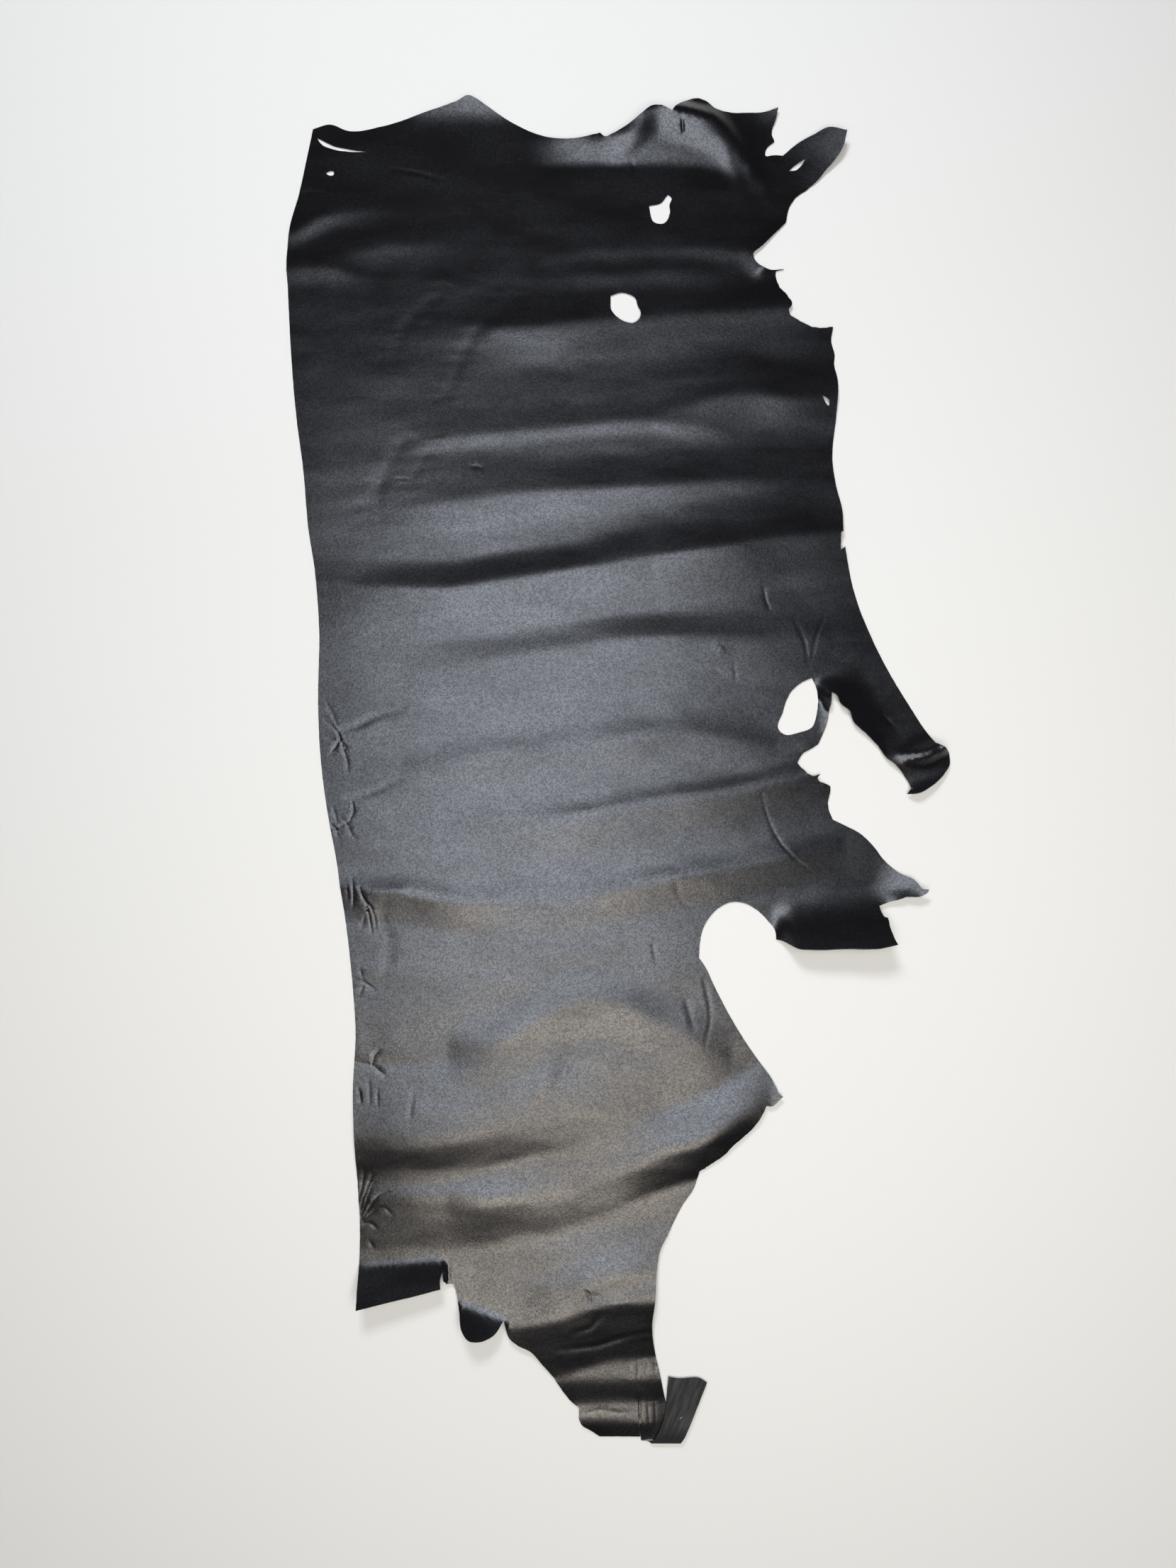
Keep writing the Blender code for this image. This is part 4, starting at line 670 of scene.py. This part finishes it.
# %% From flat to lying
def lay_out(flat):
    """The flesh side's points as the hide lies, and how far the grain side sinks at each of them."""
    x, y = flat.T
    beyond = np.clip(STRIP_BEND_START - y, 0.0, None)
    turn = np.clip(beyond / STRIP_BEND_RADIUS, 0.0, math.pi)
    run_back = np.clip(beyond - BEND_ARC, 0.0, None)
    sink = (2.0 * STRIP_BEND_RADIUS - STRIP_END_HEIGHT) * (run_back / STRIP_LENGTH)**1.5
    fade = ease((y - STRIP_BEND_START) / RELIEF_FADE)
    fade = np.where(x < STRIP_INNER_X, 1.0, fade)
    fine = (swell_height(x, y) + uneven_height(x, y) + crease_height(x, y)) * (beyond == 0.0)
    height = main_relief(x, y) * fade
    bend_height = STRIP_BEND_RADIUS * (1.0 - np.cos(turn)) - sink
    place_y = np.maximum(y, STRIP_BEND_START) - STRIP_BEND_RADIUS * np.sin(turn) + run_back
    flesh = np.column_stack([x, place_y, np.maximum(height + fine, 0.0) + bend_height])
    hollow = np.minimum(height + fine, 0.0)
    return flesh, hollow


def corner_normals(points, faces):
    """Upward direction of the sheet at each point, from the triangles around it."""
    a, b, c = (points[faces[:, k]] for k in range(3))
    face_normals = np.cross(b - a, c - a)
    normals = np.zeros_like(points)
    for k in range(3):
        np.add.at(normals, faces[:, k], face_normals)
    return normals / np.linalg.norm(normals, axis=1)[:, None]


def free_edges(faces):
    """Edges with a triangle on one side only, in the direction of that triangle."""
    directed = {(a, b) for tri in faces.tolist() for a, b in zip(tri, tri[1:] + tri[:1])}
    return sorted((a, b) for a, b in directed if (b, a) not in directed)


# %% One closed sheet
EDGE_ROUNDING = 0.02         # cm, of the grain side's corner


def build_sheet(flat, faces):
    """Points and triangles of the closed sheet, and the material number of each triangle."""
    flesh, hollow = lay_out(flat)
    normals = corner_normals(flesh, faces)
    grain = flesh + (HIDE_THICKNESS + hollow)[:, None] * normals
    normals = corner_normals(grain, faces)
    rim = free_edges(faces)
    outward = np.zeros_like(flesh)
    for a, b in rim:
        side = np.cross(flesh[b] - flesh[a], normals[a] + normals[b])
        side /= np.linalg.norm(side)
        outward[a] += side
        outward[b] += side
    ring = np.array(sorted({a for a, _ in rim}))
    out = outward[ring] / np.maximum(np.linalg.norm(outward[ring], axis=1), 1e-9)[:, None]
    shoulder = grain[ring] - EDGE_ROUNDING * normals[ring]
    grain[ring] -= EDGE_ROUNDING * out
    count = len(flat)
    at = {vertex: 2 * count + k for k, vertex in enumerate(ring.tolist())}
    triangles = [(c + count, a + count, b + count) for a, b, c in faces.tolist()]
    triangles += [(c, b, a) for a, b, c in faces.tolist()]
    numbers = [0] * len(faces) + [1] * len(faces)
    for a, b in rim:
        triangles += [(a, b, at[b]), (a, at[b], at[a])]
        triangles += [(at[a], at[b], b + count), (at[a], b + count, a + count)]
        numbers += [2, 2, 0, 0]
    bends = [*rim, *((a + count, b + count) for a, b in rim), *((at[a], at[b]) for a, b in rim)]
    return np.concatenate([flesh, grain, shoulder]), triangles, numbers, bends


points, triangles, numbers, bends = build_sheet(flat, faces)
middle = 0.5 * (points.min(axis=0) + points.max(axis=0))
box_middle = 0.5 * (np.array(part_low) + np.array(part_high)) / CM
points += (box_middle[0] - middle[0], box_middle[1] - middle[1], -points[:, 2].min())
print("points:", len(points), "triangles:", len(triangles), "size, cm:", np.ptp(points, axis=0).round(2))

# %% The Blender object
mesh = bpy.data.meshes.new("leather_side_sheet")
mesh.from_pydata((points * CM).tolist(), [], triangles)
mesh.polygons.foreach_set("material_index", numbers)
mesh.polygons.foreach_set("use_smooth", [True] * len(triangles))
mesh.update()
sharp = {tuple(sorted(pair)) for pair in bends}
edge_pairs = np.zeros(2 * len(mesh.edges), np.int32)
mesh.edges.foreach_get("vertices", edge_pairs)
edge_sharp = [tuple(sorted(pair)) in sharp for pair in edge_pairs.reshape(-1, 2).tolist()]
mesh.attributes.new("sharp_edge", "BOOLEAN", "EDGE").data.foreach_set("value", edge_sharp)
hide = bpy.data.objects.new("leather_side_sheet", mesh)
bpy.context.scene.collection.objects.link(hide)
print("sharp edges:", sum(edge_sharp))

# %% [markdown]
# ## Materials
#
# Two small helpers come first: one turns the colour on a colour card (sRGB hex) into the linear numbers
# that a shader uses, and one adds a node with its settings and links.

# %% Helpers for materials
def hex_colour(text):
    """Linear RGBA from an sRGB hex value such as #1b1b1d."""
    channels = [int(text[k:k + 2], 16) / 255 for k in (1, 3, 5)]
    linear = [c / 12.92 if c <= 0.04045 else ((c + 0.055) / 1.055)**2.4 for c in channels]
    return (*linear, 1.0)


def add(tree, kind, inputs, **settings):
    """Add a node. inputs maps its sockets to a value or to another node's output."""
    node = tree.nodes.new(kind)
    for name, value in settings.items():
        setattr(node, name, value)
    for name, value in inputs.items():
        if isinstance(value, bpy.types.NodeSocket):
            tree.links.new(value, node.inputs[name])
        else:
            node.inputs[name].default_value = value
    return node


def new_material(name):
    """A material with an empty Principled shader, and the place of each point on the object."""
    material = bpy.data.materials.new(name)
    material.use_nodes = True
    tree = material.node_tree
    shader = tree.nodes["Principled BSDF"]
    place = add(tree, "ShaderNodeTexCoord", {}).outputs["Object"]
    return material, tree, shader, place


# %% [markdown]
# ### Grain face: drum-dyed full-grain leather
#
# Full grain means that the skin's own surface is kept, with its hair pores and fine wrinkles. The dye
# goes in in a drum, then a thin wax and resin finish is ironed on, which gives a satin gloss. The finish
# sits thinner on some pebbles of the grain than on others, so one pebble mirrors more and the next one
# less, around a mean of 1: that is the fine sparkle in the sheen. The eye also reads clouds some
# centimetres wide, where the finish took more or less. Real pebbles are about 1.4 mm; they are drawn at
# 2.2 mm, because the dots of the render are about as large.

# %% Grain face
MM = 0.001
PEBBLE = 2.2 * MM
WRINKLE = 4.0 * MM
CLOUD = 60 * MM

grain_face, tree, shader, place = new_material("drum_dyed_full_grain_leather")
pebbles = add(tree, "ShaderNodeTexVoronoi", {"Vector": place, "Scale": 1.0 / PEBBLE}, feature="F1")
pebble_shine = add(tree, "ShaderNodeSeparateColor", {"Color": pebbles.outputs["Color"]})
finish = add(tree, "ShaderNodeMapRange",
             {"Value": pebble_shine.outputs["Red"], "To Min": 0.66, "To Max": 1.34})
finish_colour = add(tree, "ShaderNodeCombineColor",
                    {name: finish.outputs["Result"] for name in ("Red", "Green", "Blue")})
wrinkles = add(tree, "ShaderNodeTexNoise", {"Vector": place, "Scale": 1.0 / WRINKLE, "Detail": 2.0})
across = add(tree, "ShaderNodeMapping", {"Vector": place, "Scale": (0.35, 1.0, 1.0)})
clouds = add(tree, "ShaderNodeTexNoise",
             {"Vector": across.outputs["Vector"], "Scale": 1.0 / CLOUD, "Detail": 5.0, "Roughness": 0.6})
gloss = add(tree, "ShaderNodeMapRange",
            {"Value": clouds.outputs["Fac"], "From Min": 0.32, "From Max": 0.68,
             "To Min": 0.225, "To Max": 0.33})
tint = add(tree, "ShaderNodeMix",
           {0: clouds.outputs["Fac"], 6: hex_colour("#08080a"), 7: hex_colour("#0d0d10")},
           data_type="RGBA")
pebble_bump = add(tree, "ShaderNodeBump",
                  {"Height": pebbles.outputs["Distance"], "Strength": 0.4, "Distance": 0.04 * MM})
wrinkle_bump = add(tree, "ShaderNodeBump",
                   {"Height": wrinkles.outputs["Fac"], "Strength": 0.6, "Distance": 0.16 * MM,
                    "Normal": pebble_bump.outputs["Normal"]})
tree.links.new(tint.outputs[2], shader.inputs["Base Color"])
tree.links.new(gloss.outputs["Result"], shader.inputs["Roughness"])
tree.links.new(finish_colour.outputs["Color"], shader.inputs["Specular Tint"])
tree.links.new(wrinkle_bump.outputs["Normal"], shader.inputs["Normal"])
shader.inputs["IOR"].default_value = 1.55
print("pebbles to the metre:", round(1.0 / PEBBLE))

# %% [markdown]
# ### Flesh side: split suede
#
# The back of the hide is the loose fibre that faced the meat, shaved flat by the splitting machine. It is
# dyed too, but its raised fibres scatter light, so it is greyer and has no gloss. The blade leaves
# streaks along the strip, and they are paler where the fibre is worn.

# %% Flesh side
FIBRE = 1.2 * MM
STREAK = 9 * MM
BEND_SHADE_FROM = -1.150         # m, Y along the hide: painted shade darkens the suede towards the bend of the strip, and from here on the painted shade makes it as dark as the grain face
BEND_SHADE_FULL = -1.172         # and from here on the suede is as dark as the grain face

flesh_side, tree, shader, place = new_material("split_suede")
turned = add(tree, "ShaderNodeMapping", {"Vector": place, "Rotation": (0.0, 0.0, math.radians(22.0))})
lengthwise = add(tree, "ShaderNodeMapping", {"Vector": turned.outputs["Vector"], "Scale": (1.0, 0.12, 1.0)})
fibres = add(tree, "ShaderNodeTexNoise",
             {"Vector": lengthwise.outputs["Vector"], "Scale": 1.0 / FIBRE, "Detail": 4.0, "Roughness": 0.7})
streaks = add(tree, "ShaderNodeTexNoise",
              {"Vector": lengthwise.outputs["Vector"], "Scale": 1.0 / STREAK, "Detail": 3.0,
               "Roughness": 0.6})
worn = add(tree, "ShaderNodeMapRange",
           {"Value": streaks.outputs["Fac"], "From Min": 0.42, "From Max": 0.68})
dyed = add(tree, "ShaderNodeMix",
           {0: fibres.outputs["Fac"], 6: hex_colour("#0c0c0e"), 7: hex_colour("#222224")},
           data_type="RGBA")
nap = add(tree, "ShaderNodeMix",
          {0: worn.outputs["Result"], 6: dyed.outputs[2], 7: hex_colour("#363536")},
          data_type="RGBA")
along_hide = add(tree, "ShaderNodeSeparateXYZ", {"Vector": place}).outputs["Y"]
# Painted shade: the suede is mixed towards near black over the last centimetres before the bend of the strip
painted_bend_shade = add(tree, "ShaderNodeMapRange",
             {"Value": along_hide, "From Min": BEND_SHADE_FROM, "From Max": BEND_SHADE_FULL, "To Max": 0.85})
nap = add(tree, "ShaderNodeMix",
          {0: painted_bend_shade.outputs["Result"], 6: nap.outputs[2], 7: hex_colour("#08080a")},
          data_type="RGBA")
nap_bump = add(tree, "ShaderNodeBump",
               {"Height": fibres.outputs["Fac"], "Strength": 0.7, "Distance": 0.25 * MM})
tree.links.new(nap.outputs[2], shader.inputs["Base Color"])
tree.links.new(nap_bump.outputs["Normal"], shader.inputs["Normal"])
shader.inputs["Roughness"].default_value = 0.85
shader.inputs["IOR"].default_value = 1.45
shader.inputs["Sheen Weight"].default_value = 0.15
shader.inputs["Sheen Roughness"].default_value = 0.5
print("fibres to the metre:", round(1.0 / FIBRE))

# %% [markdown]
# ### Cut edge: the raw section
#
# A knife cut shows the middle of the hide, where the dye is thinner, so the edge is a dark grey line.

# %% Cut edge
cut_edge, tree, shader, place = new_material("raw_cut_edge")
CUT_FIBRE = 0.8 * MM
fibre_ends = add(tree, "ShaderNodeTexNoise", {"Vector": place, "Scale": 1.0 / CUT_FIBRE, "Detail": 3.0})
core = add(tree, "ShaderNodeMix",
           {0: fibre_ends.outputs["Fac"], 6: hex_colour("#232325"), 7: hex_colour("#57575a")},
           data_type="RGBA")
tree.links.new(core.outputs[2], shader.inputs["Base Color"])
shader.inputs["Roughness"].default_value = 0.9
for material in (grain_face, flesh_side, cut_edge):
    hide.data.materials.append(material)
print("materials:", [slot.name for slot in hide.material_slots])

# %% [markdown]
# ## Ground, camera and light
#
# The hide lies on a plain pale floor and is seen from straight above. A satin black surface shows little
# but what it mirrors. Four ceiling panels draw the sheen: a cool one over the middle, a weak one beside
# it for the brisket, a warm one over the neck, and a dim one beyond the middle. So the butt half stays
# nearly black, and only the flanks of its ridges, which lean to the cool panel, light up. The floor shows
# no sheen, so two more lights are for it: a window beyond the butt end, which throws the short soft
# shadows, and a fill from above.

# %% Floor
FLOOR_HALF = 12.0            # m
FLOOR_LEVEL = -0.5 * MM      # just under the hide, so the two faces don't fight
floor_mesh = bpy.data.meshes.new("floor")
floor_corners = [(-FLOOR_HALF, -FLOOR_HALF), (FLOOR_HALF, -FLOOR_HALF),
                 (FLOOR_HALF, FLOOR_HALF), (-FLOOR_HALF, FLOOR_HALF)]
floor_mesh.from_pydata([(x, y, FLOOR_LEVEL) for x, y in floor_corners], [], [(0, 1, 2, 3)])
floor = bpy.data.objects.new("floor", floor_mesh)
bpy.context.scene.collection.objects.link(floor)
floor_paint, tree, shader, place = new_material("matt_white_paint")
shader.inputs["Base Color"].default_value = hex_colour("#cfd0cf")
shader.inputs["Roughness"].default_value = 0.75
floor.data.materials.append(floor_paint)
print("floor:", floor.name)

# %% Camera
CAMERA_HEIGHT = 2.2          # m
VIEW_HEIGHT = 2.765          # m of floor from the top to the bottom of the frame
SENSOR = 24.0                # mm
camera_data = bpy.data.cameras.new("camera")
camera_data.sensor_fit = "VERTICAL"
camera_data.sensor_height = SENSOR
camera_data.lens = SENSOR * CAMERA_HEIGHT / VIEW_HEIGHT
camera = bpy.data.objects.new("camera", camera_data)
camera.location = (-0.053, -0.0239, CAMERA_HEIGHT)
bpy.context.scene.collection.objects.link(camera)
bpy.context.scene.camera = camera
print("lens, mm:", round(camera_data.lens, 2))

# %% Lights
def panel(name, centre, aim, width, length, radiance, colour, for_sheen):
    """A flat soft light of width x length metres that faces aim. It is for the sheen or for the floor."""
    data = bpy.data.lights.new(name, "AREA")
    data.shape = "RECTANGLE"
    data.size, data.size_y = width, length
    data.energy = math.pi * width * length * radiance
    data.color = hex_colour(colour)[:3]
    light = bpy.data.objects.new(name, data)
    light.location = centre
    light.rotation_euler = (Vector(aim) - Vector(centre)).to_track_quat("-Z", "Y").to_euler()
    light.visible_diffuse = not for_sheen
    light.visible_glossy = for_sheen
    bpy.context.scene.collection.objects.link(light)
    return light


PANELS = [                   # name, centre, point it faces, width, length, radiance, colour, for the sheen
    ("cool ceiling panel", (-0.34, 0.05, 3.0), (-0.34, 0.05, 0.0), 1.42, 2.1, 6.25, "#ecf3ff", True),
    ("warm ceiling panel", (-0.11, -1.67, 3.0), (-0.11, -1.67, 0.0), 1.46, 1.24, 6.95, "#fff5e8", True),
    ("side ceiling panel", (0.56, -0.22, 3.0), (0.56, -0.22, 0.0), 0.38, 0.86, 2.7, "#ecf3ff", True),
    ("dim ceiling panel", (-0.3, 1.42, 3.0), (-0.3, 1.42, 0.0), 1.7, 0.64, 0.78, "#eef4ff", True),
    ("window over the butt end", (-0.6, 2.4, 2.7), (0.1, -0.1, 0.0), 1.1, 0.8, 34.0, "#f6f9ff", False),
    ("soft fill", (0.12, -0.6, 3.0), (0.12, -0.6, 0.0), 2.4, 2.4, 6.95, "#fffaf3", False),
]
for row in PANELS:
    panel(*row)
print("lights:", len(PANELS))

# %% Room
room = bpy.data.worlds.new("room")
bpy.context.scene.world = room
room.use_nodes = True
tree = room.node_tree
direction = add(tree, "ShaderNodeTexCoord", {}).outputs["Generated"]
upward = add(tree, "ShaderNodeSeparateXYZ", {"Vector": direction}).outputs["Z"]
wall_share = add(tree, "ShaderNodeMapRange",
                 {"Value": upward, "From Min": 0.12, "From Max": 0.42, "To Min": 1.0, "To Max": 0.0})
shade = add(tree, "ShaderNodeMix",
            {0: wall_share.outputs["Result"], 6: (0.03, 0.03, 0.033, 1.0), 7: (0.42, 0.42, 0.415, 1.0)},
            data_type="RGBA")
tree.links.new(shade.outputs[2], tree.nodes["Background"].inputs["Color"])
bpy.context.scene.view_settings.view_transform = "Standard"
print("world:", room.name)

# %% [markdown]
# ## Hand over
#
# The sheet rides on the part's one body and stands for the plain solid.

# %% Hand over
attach(hide, "root")
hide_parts("leather_side")
